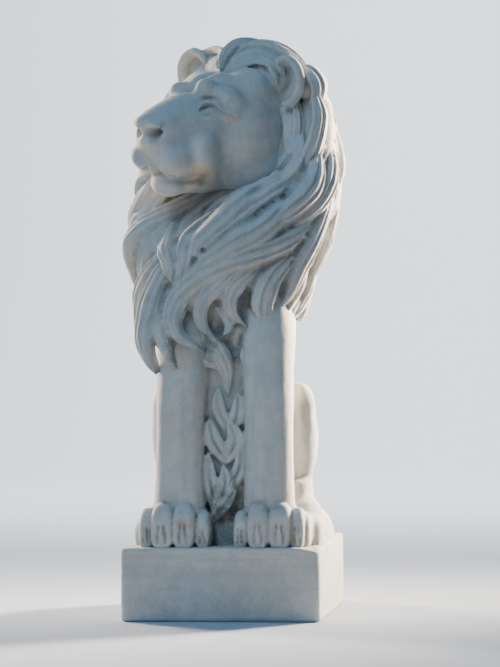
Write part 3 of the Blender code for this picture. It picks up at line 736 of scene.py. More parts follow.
def add_leaves(clay):
    """The leaf relief between the forelegs: upright pointed leaves that overlap on a panel."""
    add_limb(clay, ((0, -106, -SEAT_DEPTH, 46, 26), (0, -106, 200, 46, 26), (0, -96, 410, 46, 26)), 4)
    add_limb(clay, ((0, -122, -SEAT_DEPTH, 40, 34), (0, -120, 22, 38, 32), (0, -108, 70, 36, 22)), 3)
    for half_width, forward, base, middle, tip in LEAVES:
        points = leaf_line(forward, base, middle, tip)
        share = np.linspace(0, 1, len(points))
        widths = half_width * np.sin(np.pi * (0.12 + 0.88 * share)) ** 0.8 + 0.6
        frontward = np.tile((0.0, -1.0, 0.0), (len(points), 1))
        add_band(clay, points, frontward, widths, 0.55 * widths + 2, strands=1, strand_depth=0.45, hair=0.6)


def body_clay():
    """The body's broad forms, which are smoothed before the paws and leaves are added."""
    clay = Clay()
    add_torso(clay)
    add_tail(clay)
    for side in (-1, 1):
        add_foreleg(clay, side)
        add_hind_leg(clay, side)
    return clay


def carve_body(points, faces):
    """The tendon line down each foreleg and the muscle grooves of the hind legs."""
    for side in (-1, 1):
        ridge = ((side * 78, -186, 100), (side * 80, -184, 200), (side * 80, -176, 300))
        carve(points, faces, ridge, 9, -4)
        knee = ((side * 150, -66, 270), (side * 156, -72, 190), (side * 152, -78, 110))
        carve(points, faces, knee, 8, 5)
        thigh = ((side * 150, -20, 280), (side * 168, 30, 200), (side * 160, 60, 90))
        carve(points, faces, thigh, 12, 6)


# Mane


def behind_face(points):
    """Moves what lies before the edge of the face back to it, so that the mane frames the cheeks."""
    turn = np.array(head_turn())
    heads = (points - turn[:3, 3]) @ turn[:3, :3]
    heights = (-390, -330, -285, -250, -216, -161, -104, 40)
    edge = np.interp(heads[:, 2], heights, (-420, -200, -142, -98, -34, 2, 12, 20))
    side = np.interp(heads[:, 0], (-150, -90), (0, 1))
    over = (edge - heads[:, 1]) / FACE_EDGE_SOFTNESS
    heads[:, 1] += side * FACE_EDGE_SOFTNESS * np.logaddexp(0, np.clip(over, -30, 30))
    return heads @ turn[:3, :3].T + turn[:3, 3]


def mane_places(rows):
    """Points and outward directions on the mane's ground form, for rows of angle, height and lift.

    The angle is in degrees from the front, towards +X.
    """
    rings = curve_through(MANE_RINGS, 80)

    def place(angle, height):
        turn = np.radians(angle)
        middle_x, middle_y, half_width, half_depth = (
            np.interp(height, rings[:, 0], rings[:, column]) for column in range(1, 5)
        )
        across = middle_x + half_width * np.sin(turn)
        along = middle_y - half_depth * np.cos(turn)
        return np.stack([across, along, height], axis=1)

    angle, height, lift = rows.T
    ground = behind_face(place(angle, height))
    round_it = place(angle + 2, height) - place(angle - 2, height)
    up_it = place(angle, height + 4) - place(angle, height - 4)
    outward = unit(np.cross(round_it, up_it))
    return ground + outward * lift[:, None], outward


def lock_swell(share):
    """How wide a lock is along its length: full in the middle, pointed at its end."""
    return np.interp(share, (0, 0.15, 0.4, 0.7, 0.9, 1), (0.5, 0.82, 1, 0.8, 0.38, 0.06))


def add_lock(clay, rows, half_width, height, strands):
    """A lock of hair along rows of angle, height and lift on the mane."""
    rows = curve_through(rows, 56)
    rows[:, 1] = np.minimum(rows[:, 1], CROWN_HEIGHT)
    points, outward = mane_places(rows)
    swell = lock_swell(np.linspace(0, 1, len(points)))
    add_band(clay, points, outward, half_width * swell, height * (0.4 + 0.6 * swell), strands, 0.26)


def ground_flow(points):
    """The lie of the hair on the mane's ground form, where no lock covers it: it runs as the locks do."""
    hair = np.zeros((len(points), HAIR_COLUMNS))
    angle = np.degrees(np.arctan2(points[:, 0], 10 - points[:, 1]))
    hair[:, ACROSS] = (angle - sweep_at(angle) * points[:, 2] / TIER_LENGTH) * STEPS_PER_DEGREE
    hair[:, ALONG] = points[:, 2]
    hair[:, STRENGTH] = GROUND_STRENGTH
    hair[:, HALF_WIDTH] = NO_EDGE
    return hair


def fringe_height(angle):
    """How low the mane's lowest tips hang at an angle from the front."""
    angles = (-180, -110, -60, -35, -22, -8, 0, 8, 25, 60, 110, 180)
    heights = (470, 420, 372, 352, 362, 330, 268, 325, 380, 410, 432, 470)
    return np.interp(angle, angles, heights)


def sweep_at(angle):
    """How many degrees a lock's root lies towards +X from its tip."""
    return np.interp(angle, (-180, -90, -40, 0, 40, 90, 150, 180), (0, 14, 22, 38, 44, 30, 8, 0))


def add_tier(clay, chance, rise):
    """One tier of overlapping locks round the mane, their tips a rise above the fringe."""
    count = round(360 / TIER_SPACING)
    shift = chance.uniform(0, 1)
    for index in range(count):
        angle = -180 + (index + shift + chance.uniform(-0.15, 0.15)) * TIER_SPACING
        if abs(angle - CHEST_MIDDLE) < CHEST_REACH and rise < CHEST_RISE:
            continue
        tip = fringe_height(angle) + rise + chance.uniform(-1, 1) * (5 if rise == 0 else 20)
        reach = TIER_LENGTH * chance.uniform(0.85, 1.15)
        wave = chance.uniform(3, 8) * (1 if index % 2 else -1)
        root = sweep_at(angle) * chance.uniform(0.85, 1.15)
        raised = chance.uniform(-3, 4) - FRONT_SINK * (-80 < angle < 85 and rise > 0)
        rows = (
            (angle + root, tip + reach, raised - 18),
            (angle + 0.72 * root + wave, tip + 0.68 * reach, raised - 6),
            (angle + 0.36 * root - 0.6 * wave, tip + 0.34 * reach, raised + 3),
            (angle + 0.06 * root + 0.5 * wave, tip + 0.1 * reach, raised + 6),
            (angle + wave, tip, raised + 2),
        )
        half_width = TIER_HALF_WIDTH * chance.uniform(0.85, 1.15)
        add_lock(clay, rows, half_width, TIER_THICKNESS, chance.choice((3, 4)))


def mane_clay():
    """The mane's ground form with the tiers of locks round it and the locks on the chest."""
    clay = Clay()
    chance = random.Random(LOCK_SEED)
    rings = curve_through(MANE_RINGS, 40)
    ground = Clay()
    add_limb(ground, [(ring[1], ring[2], ring[0], ring[3], ring[4]) for ring in rings], 2.0, 40)
    clay.add(behind_face(ground.all_points()), ground.all_faces())
    nape = ((32, 58, 916), (94, 86, 50))
    right_shoulder = ((-98, -92, 398), (26, 48, 48))
    add_blob(clay, *nape)
    add_blob(clay, *right_shoulder)
    for rise in TIER_RISES:
        add_tier(clay, chance, rise)
    for half_width, lift, *route in FRONT_LOCKS:
        rows = [(angle, height, lift + sum(more)) for angle, height, *more in route]
        rows[0] = (rows[0][0], rows[0][1], lift - 12)
        add_lock(clay, rows, half_width, min(FRONT_THICKNESS, 0.85 * half_width), 4)
    return clay


# Head, in its own steps


def add_muzzle(clay):
    """The muzzle as upright rings from the cheeks to the nose: y, top, bottom and half width."""
    rings = curve_through(
        (
            (-50, -22, -200, 96),
            (-95, -24, -206, 88),
            (-130, -32, -204, 80),
            (-165, -43, -198, 67),
            (-200, -54, -184, 52),
            (-232, -67, -160, 42),
            (-254, -77, -130, 29),
        ),
        22,
    )
    wide, rise = squared_round(28, 0.84)
    loops = np.empty((len(rings), len(wide), 3))
    loops[:, :, 0] = rings[:, 3, None] * wide
    loops[:, :, 1] = rings[:, 0, None]
    middle = (rings[:, 1] + rings[:, 2]) / 2
    reach = (rings[:, 1] - rings[:, 2]) / 2
    loops[:, :, 2] = middle[:, None] + reach[:, None] * rise
    add_loft(clay, loops)


def head_clay():
    """The head's broad forms: skull, cheeks, muzzle and jaw."""
    clay = Clay()
    add_blob(clay, (0, 0, -62), (116, 104, 68))
    add_blob(clay, (0, -72, -46), (84, 64, 44), lean=(14, 0, 0))
    add_blob(clay, (0, -22, -114), (130, 92, 92))
    add_muzzle(clay)
    add_blob(clay, (0, -112, -200), (60, 86, 36), lean=(-4, 0, 0))
    add_blob(clay, (14, -14, -184), (122, 90, 84))
    for side in (-1, 1):
        drop = FAR_BROW_DROP * (side < 0)
        add_blob(clay, (side * 62, -30, -42 - drop), (50, 50, 53))
        add_blob(clay, (side * 72, -50, -118), (58, 66, 82))
        add_blob(clay, (side * 62, -86, -66), (44, 44, 38))
        add_blob(clay, (side * 52, -128, -146), (27, 64, 50), lean=(0, 0, side * 28))
        add_blob(clay, (side * 33, -190, -160), (36, 56, 34), lean=(0, 0, side * 12))
    return clay


def feature_clay():
    """What stands out from the broad forms: nose, whisker pads, chin, brows and ears."""
    clay = Clay()
    add_blob(clay, (0, -246, -93), (29, 24, 17))
    add_blob(clay, (0, -186, -212), (42, 30, 26))
    add_blob(clay, (0, -150, -206), (52, 54, 28))
    for side in (-1, 1):
        drop = FAR_BROW_DROP * (side < 0)
        add_blob(clay, (side * 30, -200, -166), (32, 40, 30))
        add_blob(clay, (side * 25, -236, -99), (15, 26, 15))
        add_blob(clay, (side * 36, -124, -34 - drop), (23, 25, 26))
        add_blob(clay, (side * 66, -98, -44 - drop), (36, 28, 21), lean=(0, side * 12, side * 42))
        add_ear(clay, side)
    return clay


def add_ear(clay, side):
    """An ear as a shallow cup: a thick rim round a disc that is set back."""
    rim = ((96, -2, 0), (100, 0, 16), (116, 2, 26), (138, 4, 24), (156, 4, 8), (162, 5, -14))
    rim += ((156, 4, -38), (142, 0, -56), (122, -6, -58))
    points = curve_through([both(place, side) for place in rim], 32)
    swell = np.interp(np.linspace(0, 1, 32), (0, 0.3, 0.75, 1), (8, 11, 12, 7))
    ahead = np.tile((side * 0.25, -0.97, 0.0), (32, 1))
    add_band(clay, points, ahead, swell, swell + 2, hair=0)
    add_blob(clay, (side * 122, 16, -16), (42, 11, 45), lean=(0, side * 8, side * 14))


def eye_places(side, across, up):
    """Places on the bulge of an eye: across runs from its inner to its outer corner."""
    across, up = np.atleast_1d(across), np.atleast_1d(up)
    middle = np.array(both(EYE_MIDDLE, side))
    turn = math.radians(EYE_TURN)
    outer = np.array((side * math.cos(turn), math.sin(turn), 0.0))
    ahead = np.array((side * math.sin(turn), -math.cos(turn), 0.0))
    out = EYE_BULGE * (1 - (across / EYE_REACH) ** 2 - (up / EYE_REACH) ** 2)
    flat = across[:, None] * outer + up[:, None] * np.array((0.0, 0.0, 1.0))
    return middle + flat + out[:, None] * ahead, ahead


def on_skin(points, line, ahead):
    """Places of a line moved along a direction to the foremost part of the skin there."""
    moved = []
    for place in line:
        gap = points - place
        depth = gap @ ahead
        off = np.linalg.norm(gap - depth[:, None] * ahead, axis=1)
        near = (off < SKIN_REACH) & (np.abs(depth) < 40)
        moved.append(place + ahead * (depth[near].max() if near.any() else 0))
    return np.array(moved)


def carve_eye(points, faces, side):
    """An eye: its ball, the heavy upper lid that runs on outward as a fold, and the ringed iris."""
    ball, ahead = eye_places(side, *EYEBALL)
    dent(points, on_skin(points, ball, ahead)[0], 13, ahead * 4)
    for width, depth, line in EYE_LINES.values():
        places, ahead = eye_places(side, *curve_through(line, 24).T)
        carve_on(points, faces, on_skin(points, places, ahead), width, depth)
    turns = np.linspace(0, 2 * np.pi, 25)
    for across, up, radius, depth in EYE_RINGS:
        ring, ahead = eye_places(side, across + radius * np.cos(turns), up + radius * np.sin(turns))
        carve_on(points, faces, on_skin(points, ring, ahead), RING_WIDTH, depth)
    pupil, ahead = eye_places(side, *PUPIL)
    dent(points, on_skin(points, pupil, ahead)[0], 3.6, ahead * -5)


def dent(points, middle, radius, push):
    """Moves what is near a place by a push that fades away from it."""
    gap = np.linalg.norm(points - middle, axis=1)
    points += np.exp(-((gap / radius) ** 2))[:, None] * np.asarray(push, float)


def carve_face(points, faces):
    """Nostrils, mouth, ears and the lines of the muzzle and brow."""
    for side in (-1, 1):
        dent(points, (side * 114, 0, -14), 24, (side * -4, 18, 0))
        dent(points, (side * 23, -250, -109), 10, (side * -8, 40, 6))
        nostril = ((side * 12, -262, -113), (side * 24, -252, -111), (side * 36, -234, -98))
        carve(points, faces, nostril, 6, 10)
        mouth = ((0, -236, -176), (side * 26, -224, -190), (side * 46, -188, -203))
        mouth += ((side * 60, -140, -202),)
        carve(points, faces, mouth, 4.2, 19)
        dent(points, (side * 66, -142, -203), 11, (side * -34, 4, 2))
        inner_corner = ((side * 24, -158, -56), (side * 36, -146, -68), (side * 42, -138, -90))
        carve(points, faces, inner_corner, 9, 5)
    carve(points, faces, ((0, -270, -110), (0, -256, -140), (0, -238, -176)), 4.5, 10)
    carve(points, faces, ((0, -66, 4), (0, -104, -14), (0, -142, -34)), 10, 5)


def crown_routes(side):
    """Locks from the parting on the forehead, over the ear and down behind it, each with its half width."""
    long_arc = ((0, -46, -4), (10, -33, 20), (22, -15, 40), (47, -1, 49))
    long_arc += ((79, 9, 47), (112, 17, 33), (135, 27, 4), (149, 34, -32))
    under_arc = ((6, -48, -6), (26, -34, 17), (54, -18, 29), (84, -8, 28), (108, 0, 14), (120, 6, -4))
    upper_arc = ((6, -28, 22), (18, -2, 43), (42, 22, 49), (78, 38, 43), (112, 52, 21), (140, 60, -10))
    tuft = ((4, -48, 2), (3, -43, 26), (8, -24, 45), (18, 0, 53), (28, 24, 51), (40, 44, 40))
    behind_ear = ((132, 34, 10), (156, 40, 2), (174, 44, -24), (166, 44, -58), (152, 40, -84))
    under_ear = ((140, 14, -50), (154, 12, -100), (142, 2, -158), (116, -34, -212))
    under_ear += ((90, -84, -252), (72, -134, -296))
    beside_ear = ((170, 38, -40), (190, 32, -84), (184, 18, -146), (160, -8, -216))
    beside_ear += ((132, -54, -276), (104, -110, -330))
    routes = ((long_arc, 9, 13), (upper_arc, 22, 12), (tuft, 15, 14))
    routes += ((behind_ear, 26, 12), (under_ear, 17, 14), (beside_ear, 24, 14))
    if side > 0:
        fringe = ((86, -14, 24), (102, -15, 12), (112, -13, -6), (115, -9, -26))
        routes += ((under_arc, 30, 9), (fringe, 9, 7))
    drop = FAR_CROWN_DROP * (side < 0)
    sided = []
    for route, half_width, height in routes:
        sided.append(([(side * x, y, z - drop * max(z, 0)) for x, y, z in route], half_width, height))
    return sided


def crown_clay():
    """The hair round the face: its locks on a ground of broad forms behind the ears."""
    clay = Clay()
    add_blob(clay, (18, 20, -12), (104, 64, 57))
    for side in (-1, 1):
        for route, half_width, height in crown_routes(side):
            points = curve_through(route, 28)
            outward = unit(points - (0, 40, -90))
            swell = lock_swell(np.linspace(0, 1, len(points)))
            add_band(clay, points, outward, half_width * swell, height * (0.4 + 0.6 * swell), 3, 0.3)
        add_blob(clay, (side * 146, 50, -26), (30, 32, 30))
        add_blob(clay, (side * 156, 56, -112), (33, 42, 84))
    add_blob(clay, (-74, 22, 0), (38, 22, 32))
    return clay


def head_turn():
    """The matrix that turns the head's steps into the figure's."""
    sizes = bpy.context.scene.lion_sizes
    nod = Matrix.Rotation(sizes.head_nod, 4, "X")
    tilt = Matrix.Rotation(sizes.head_tilt, 4, "Y")
    turn = Matrix.Rotation(-sizes.head_turn, 4, "Z")
    return Matrix.Translation(Vector(HEAD_PLACE)) @ turn @ tilt @ nod


def fur_flow(points):
    """The lie of the short fur: it runs back from the nose, over the cheeks and the forehead."""
    away = points - np.array(FUR_START)
    hair = np.zeros((len(points), HAIR_COLUMNS))
    hair[:, ACROSS] = np.arctan2(away[:, 0], away[:, 2]) * FUR_SPREAD
    hair[:, ALONG] = FUR_SHORTNESS * np.linalg.norm(away, axis=1)
    hair[:, STRENGTH] = FUR_STRENGTH * np.clip((points[:, 1] + FUR_BARE_BEFORE) / FUR_FADE, 0, 1)
    hair[:, HALF_WIDTH] = NO_EDGE
    return hair


def carved_head():
    """The head with its features, eyes and carved lines, in its own steps."""
    points, faces = skinned(head_clay(), BROAD_HEAD_VOXEL, 53)
    features = feature_clay()
    features.add(points, faces)
    points, faces = skinned(features, FEATURE_VOXEL, 40)
    for side in (-1, 1):
        socket = both((EYE_MIDDLE[0] - 12, EYE_MIDDLE[1] - 10, EYE_MIDDLE[2] + 6), side)
        dent(points, socket, 20, (side * -4, 7, 0))
    face = Clay()
    face.add(points, faces)
    points, faces = skinned(face, EYE_VOXEL, 2)
    for side in (-1, 1):
        carve_eye(points, faces, side)
    carve_face(points, faces)
    return points, faces


# Finishing a skin


def neighbour_mean(values, ends, sums):
    """The mean of each point's neighbours, for values in columns."""
    mean = np.empty_like(values)
    for column in range(values.shape[1]):
        total = np.bincount(ends[:, 0], values[ends[:, 1], column], len(values))
        total += np.bincount(ends[:, 1], values[ends[:, 0], column], len(values))
        mean[:, column] = total / sums
    return mean


def links_of(points, faces):
    """The ends of each edge once, and how many neighbours each point has."""
    ends = np.sort(np.concatenate([faces[:, [0, 1]], faces[:, [1, 2]], faces[:, [2, 0]]]), axis=1)
    order = np.unique(ends[:, 0].astype(np.int64) * len(points) + ends[:, 1])
    ends = np.stack([order // len(points), order % len(points)], axis=1)
    return ends, np.maximum(np.bincount(ends.ravel(), minlength=len(points)), 1)


def relief_of(points, faces, rounds):
    """How far each point lies under (above zero) or over the skin as it would be after smoothing."""
    ends, sums = links_of(points, faces)
    smooth = points.copy()
    for _ in range(rounds):
        smooth = 0.5 * smooth + 0.5 * neighbour_mean(smooth, ends, sums)
    return ((smooth - points) * normals_of(points, faces)).sum(axis=1)


def width_share(hair):
    """How far each point lies from the middle of its lock, as a share of its half width."""
    return np.abs(hair[:, ACROSS]) / np.maximum(hair[:, HALF_WIDTH], 1)


def hair_at(points, clay):
    """The place in the hair of each point of a skin, carried on from the nearest point of the clay."""
    places = clay.all_points()
    tree = KDTree(len(places))
    for index, place in enumerate(places):
        tree.insert(place, index)
    tree.balance()
    found = np.array([tree.find(point)[1] for point in points])
    gap = points - places[found]
    hair = clay.all_hair()[found]
    hair[:, ACROSS] += (gap * hair[:, WAY_ACROSS]).sum(axis=1)
    hair[:, ALONG] += (gap * hair[:, WAY_ALONG]).sum(axis=1)
    hair[:, STRENGTH] *= np.clip((STRAND_EDGE - width_share(hair)) / STRAND_FADE, 0, 1)
    return hair


def hair_on(points, clay, bare_flow):
    """The place in the hair of each point, with a rule for those that no lock covers."""
    hair = hair_at(points, clay)
    bare = hair[:, LOCK] == 0
    hair[bare] = bare_flow(points[bare])
    return hair


def settled_strands(faces, hair):
    """Fades the strands out where neighbouring points lie on different locks, so that no edge shows."""
    ends, sums = links_of(hair, faces)
    same = (hair[ends[:, 0], LOCK] == hair[ends[:, 1], LOCK]).astype(float)
    agreed = np.bincount(ends.ravel(), np.repeat(same, 2), len(hair)) / sums
    agreed = agreed[:, None]
    for _ in range(AGREED_ROUNDS):
        agreed = neighbour_mean(agreed, ends, sums)
    hair[:, STRENGTH] *= np.clip((agreed[:, 0] - LEAST_AGREED) / (1 - LEAST_AGREED), 0, 1)


def deepen_valleys(points, faces, hair):
    """Sinks the skin along the edges of the locks, so that dark valleys part them."""
    edge = np.clip((width_share(hair) - VALLEY_START) / (1 - VALLEY_START), 0, 1)
    push = (VALLEY_DEPTH * edge**2 * (hair[:, HALF_WIDTH] > 0))[:, None]
    ends, sums = links_of(points, faces)
    for _ in range(VALLEY_ROUNDS):
        push = neighbour_mean(push, ends, sums)
    points -= normals_of(points, faces) * push


def fitted_inside(points):
    """Keeps every point inside the solid's box, which the finest tips would pass by a hair."""
    low, high = (np.array(corner) for corner in CAD_BOX)
    return np.clip(points, low, high)


def finished_piece(name, points, faces, hair, material):
    """A piece of the statue from a skin in metres, with its masks, hair and material, in the frame."""
    points = fitted_inside(worn(points, faces))
    settled_strands(faces, hair)
    made = mesh_object(name, points, faces)
    made.data.polygons.foreach_set("use_smooth", np.ones(len(faces), bool))
    fine = relief_of(points, faces, FINE_RELIEF_ROUNDS)
    broad = relief_of(points, faces, BROAD_RELIEF_ROUNDS)
    # The groove mask darkens the stone with dirt and with painted shade, most in the deep recesses
    groove = np.clip(fine / FINE_GROOVE_DEPTH, 0, 1) * FINE_GROOVE_SHARE
    groove += np.clip(broad / BROAD_GROOVE_DEPTH, 0, 1) * BROAD_GROOVE_SHARE
    ridge = np.clip(-fine / FINE_GROOVE_DEPTH, 0, 1)
    for label, values in (("groove", groove), ("ridge", ridge), ("hair_amount", hair[:, STRENGTH])):
        layer = made.data.attributes.new(label, "FLOAT", "POINT")
        layer.data.foreach_set("value", values.astype(np.float32))
    layer = made.data.attributes.new("hair", "FLOAT_VECTOR", "POINT")
    layer.data.foreach_set("vector", hair[:, :3].astype(np.float32).ravel())
    made.data.materials.append(material)
    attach(made, "root")
    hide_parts("lion_statue")


def worn(points, faces):
    """A skin in metres, pushed in a little here and there, as worn and hand-finished stone is."""
    broad = np.array([noise_at(Vector(point) * WEAR_BROAD) for point in points])
    fine = np.array([noise_at(Vector(point) * WEAR_FINE) for point in points])
    lifted = np.clip(points[:, 2] / UNWORN_FOOT, 0, 1)
    push = WEAR_DEPTH * np.clip(0.5 + 0.5 * broad + 0.3 * fine, 0, 1.5) * lifted
    return points - normals_of(points, faces) * push[:, None]


def in_metres(points):
    """Steps of the figure as metres over the plinth."""
    sizes = bpy.context.scene.lion_sizes
    return points * (sizes.lion_height / STEPS_TALL) + (0, 0, sizes.plinth_height)


# Stone


def put(tree, value, socket):
    """Links a socket to another, or sets its number, vector or colour."""
    if isinstance(value, bpy.types.NodeSocket):
        tree.links.new(value, socket)
    else:
        socket.default_value = value


def add_node(tree, kind, **values):
    """A node, with its settings and sockets given by name."""
    node = tree.nodes.new(kind)
    for label, value in values.items():
        if hasattr(node, label):
            setattr(node, label, value)
        else:
            put(tree, value, node.inputs[label])
    return node


def spread(tree, value, low, high, to_low=0.0, to_high=1.0):
    """A value between two limits spread over two others."""
    node = add_node(tree, "ShaderNodeMapRange", Value=value)
    for label, limit in (("From Min", low), ("From Max", high), ("To Min", to_low), ("To Max", to_high)):
        put(tree, limit, node.inputs[label])
    return node.outputs["Result"]


def arithmetic(tree, operation, first, second):
    """One sum of two sockets or numbers."""
    node = add_node(tree, "ShaderNodeMath", operation=operation)
    put(tree, first, node.inputs[0])
    put(tree, second, node.inputs[1])
    return node.outputs[0]


def times(tree, first, second):
    return arithmetic(tree, "MULTIPLY", first, second)


def blended(tree, kind, factor, first, second):
    """Two colours blended by a factor."""
    node = add_node(tree, "ShaderNodeMix", data_type="RGBA", blend_type=kind)
    for socket, value in zip((node.inputs[0], node.inputs[6], node.inputs[7]), (factor, first, second)):
        put(tree, value, socket)
    return node.outputs[2]


def noise(tree, vector, scale, detail, roughness=0.55):
    values = {"Vector": vector, "Scale": scale, "Detail": detail, "Roughness": roughness}
    return add_node(tree, "ShaderNodeTexNoise", **values).outputs["Fac"]


def new_group(name, inputs, outputs):
    """An empty node group: its inputs with their numbers or vectors, and the names of its outputs."""
    tree = bpy.data.node_groups.new(name, "ShaderNodeTree")
    for label, value in inputs.items():
        kind = "NodeSocketFloat" if isinstance(value, float) else "NodeSocketVector"
        tree.interface.new_socket(label, in_out="INPUT", socket_type=kind).default_value = value
    for label in outputs:
        tree.interface.new_socket(label, in_out="OUTPUT", socket_type="NodeSocketFloat")
    start = tree.nodes.new("NodeGroupInput")
    end = tree.nodes.new("NodeGroupOutput")
    return tree, start.outputs, end.inputs


def make_mottle(name):
    """Cloudy differences in the stone's colour: broad clouds, small blotches and fine grain."""
    tree, given, result = new_group(name, {"Vector": (0.0, 0.0, 0.0)}, ("Cloud", "Blotch", "Grain"))
    put(tree, spread(tree, noise(tree, given["Vector"], 5.0, 4.0), 0.35, 0.68), result["Cloud"])
    put(tree, spread(tree, noise(tree, given["Vector"], 34.0, 4.0, 0.6), 0.38, 0.66), result["Blotch"])
    put(tree, noise(tree, given["Vector"], 420.0, 3.0, 0.6), result["Grain"])


def make_holes(name):
    """The small round holes that air bubbles leave in cast stone: a mask that is 1 in each hole, used for
    their depth and for the painted shade in them.
    """
    inputs = {"Vector": (0.0, 0.0, 0.0), "Spacing": 0.016, "Share": 0.3, "Radius": 0.0013}
    tree, given, result = new_group(name, inputs, ("Hole",))
    scale = arithmetic(tree, "DIVIDE", 1.0, given["Spacing"])
    cells = add_node(tree, "ShaderNodeTexVoronoi", Vector=given["Vector"], Scale=scale)
    chance = add_node(tree, "ShaderNodeSeparateColor", Color=cells.outputs["Color"])
    present = arithmetic(tree, "LESS_THAN", chance.outputs["Red"], given["Share"])
    size = times(tree, spread(tree, chance.outputs["Green"], 0, 1, 0.4, 1.2), given["Radius"])
    away = times(tree, cells.outputs["Distance"], given["Spacing"])
    inside = arithmetic(tree, "SUBTRACT", 1.0, arithmetic(tree, "DIVIDE", away, size))
    put(tree, times(tree, spread(tree, inside, 0.0, 0.45), present), result["Hole"])


def make_strands(name):
    """Fine strands along the locks and the short fur: a height and a mask of the darker gaps."""
    inputs = {"Hair": (0.0, 0.0, 0.0), "Across": 0.45, "Along": 0.02, "Lock Step": 7.31}
    tree, given, result = new_group(name, inputs, ("Height", "Gap"))
    split = add_node(tree, "ShaderNodeSeparateXYZ", Vector=given["Hair"])
    merge = add_node(tree, "ShaderNodeCombineXYZ")
    for column, stretch in enumerate(("Across", "Along", "Lock Step")):
        put(tree, times(tree, split.outputs[column], given[stretch]), merge.inputs[column])
    strands = noise(tree, merge.outputs[0], 1.0, 2.0, 0.6)
    put(tree, strands, result["Height"])
    put(tree, spread(tree, strands, 0.46, 0.3), result["Gap"])


def make_dirt_and_shade(name):
    """Dirt and painted shade in the grooves, patchy, and heavier near the ground."""
    inputs = {"Vector": (0.0, 0.0, 0.0), "Groove": 0.0, "Low": 0.0, "High": 0.4, "Amount": 1.0}
    tree, given, result = new_group(name, inputs, ("Dirt",))
    split = add_node(tree, "ShaderNodeSeparateXYZ", Vector=given["Vector"])
    near = spread(tree, split.outputs[2], given["Low"], given["High"], 1.0, 0.45)
    patchy = spread(tree, noise(tree, given["Vector"], 26.0, 5.0, 0.65), 0.3, 0.62, 0.25, 1.0)
    dirt_and_shade = given["Groove"]
    for factor in (patchy, near, given["Amount"]):
        dirt_and_shade = times(tree, dirt_and_shade, factor)
    put(tree, arithmetic(tree, "MINIMUM", dirt_and_shade, 1.0), result["Dirt"])


def make_streaks(name):
    """Long faint streaks, level or upright by the scale: a mask from 0 to 1."""
    inputs = {"Vector": (0.0, 0.0, 0.0), "Scale": UPRIGHT_STREAKS}
    tree, given, result = new_group(name, inputs, ("Streak",))
    stretched = add_node(tree, "ShaderNodeVectorMath", operation="MULTIPLY")
    put(tree, given["Vector"], stretched.inputs[0])
    put(tree, given["Scale"], stretched.inputs[1])
    put(tree, spread(tree, noise(tree, stretched.outputs[0], 1.0, 3.0, 0.6), 0.5, 0.72), result["Streak"])


def make_stain(name):
    """A soft patchy stain round one place."""
    inputs = {"Vector": (0.0, 0.0, 0.0), "Place": (0.0, 0.0, 0.0), "Radius": 0.02}
    tree, given, result = new_group(name, inputs, ("Stain",))
    away = add_node(tree, "ShaderNodeVectorMath", operation="DISTANCE")
    put(tree, given["Vector"], away.inputs[0])
    put(tree, given["Place"], away.inputs[1])
    share = arithmetic(tree, "DIVIDE", away.outputs["Value"], given["Radius"])
    wobble = spread(tree, noise(tree, given["Vector"], 60.0, 4.0, 0.6), 0.3, 0.7, -0.45, 0.45)
    inside = arithmetic(tree, "SUBTRACT", 1.0, arithmetic(tree, "ADD", share, wobble))
    put(tree, spread(tree, inside, 0.0, 0.7), result["Stain"])


GROUPS = {
    "stone mottle": make_mottle,
    "air bubble holes": make_holes,
    "hair strands": make_strands,
    "settled dirt": make_dirt_and_shade,
    "faint streaks": make_streaks,
    "round stain": make_stain,
}


def group_node(tree, name, **values):
    """The outputs of a node group placed in a material, with its inputs given by name."""
    node = tree.nodes.new("ShaderNodeGroup")
    node.node_tree = bpy.data.node_groups[name]
    for label, value in values.items():
        put(tree, value, node.inputs[label])
    return node.outputs


def attribute_of(tree, label, output="Fac"):
    return add_node(tree, "ShaderNodeAttribute", attribute_name=label).outputs[output]


def stain_masks(tree, place, spots):
    """A mask for each spot, given as a place, a radius and what else may follow them."""
    masks = []
    for middle, radius, *_ in spots:
        masks.append(group_node(tree, "round stain", Vector=place, Place=middle, Radius=radius)["Stain"])
    return masks


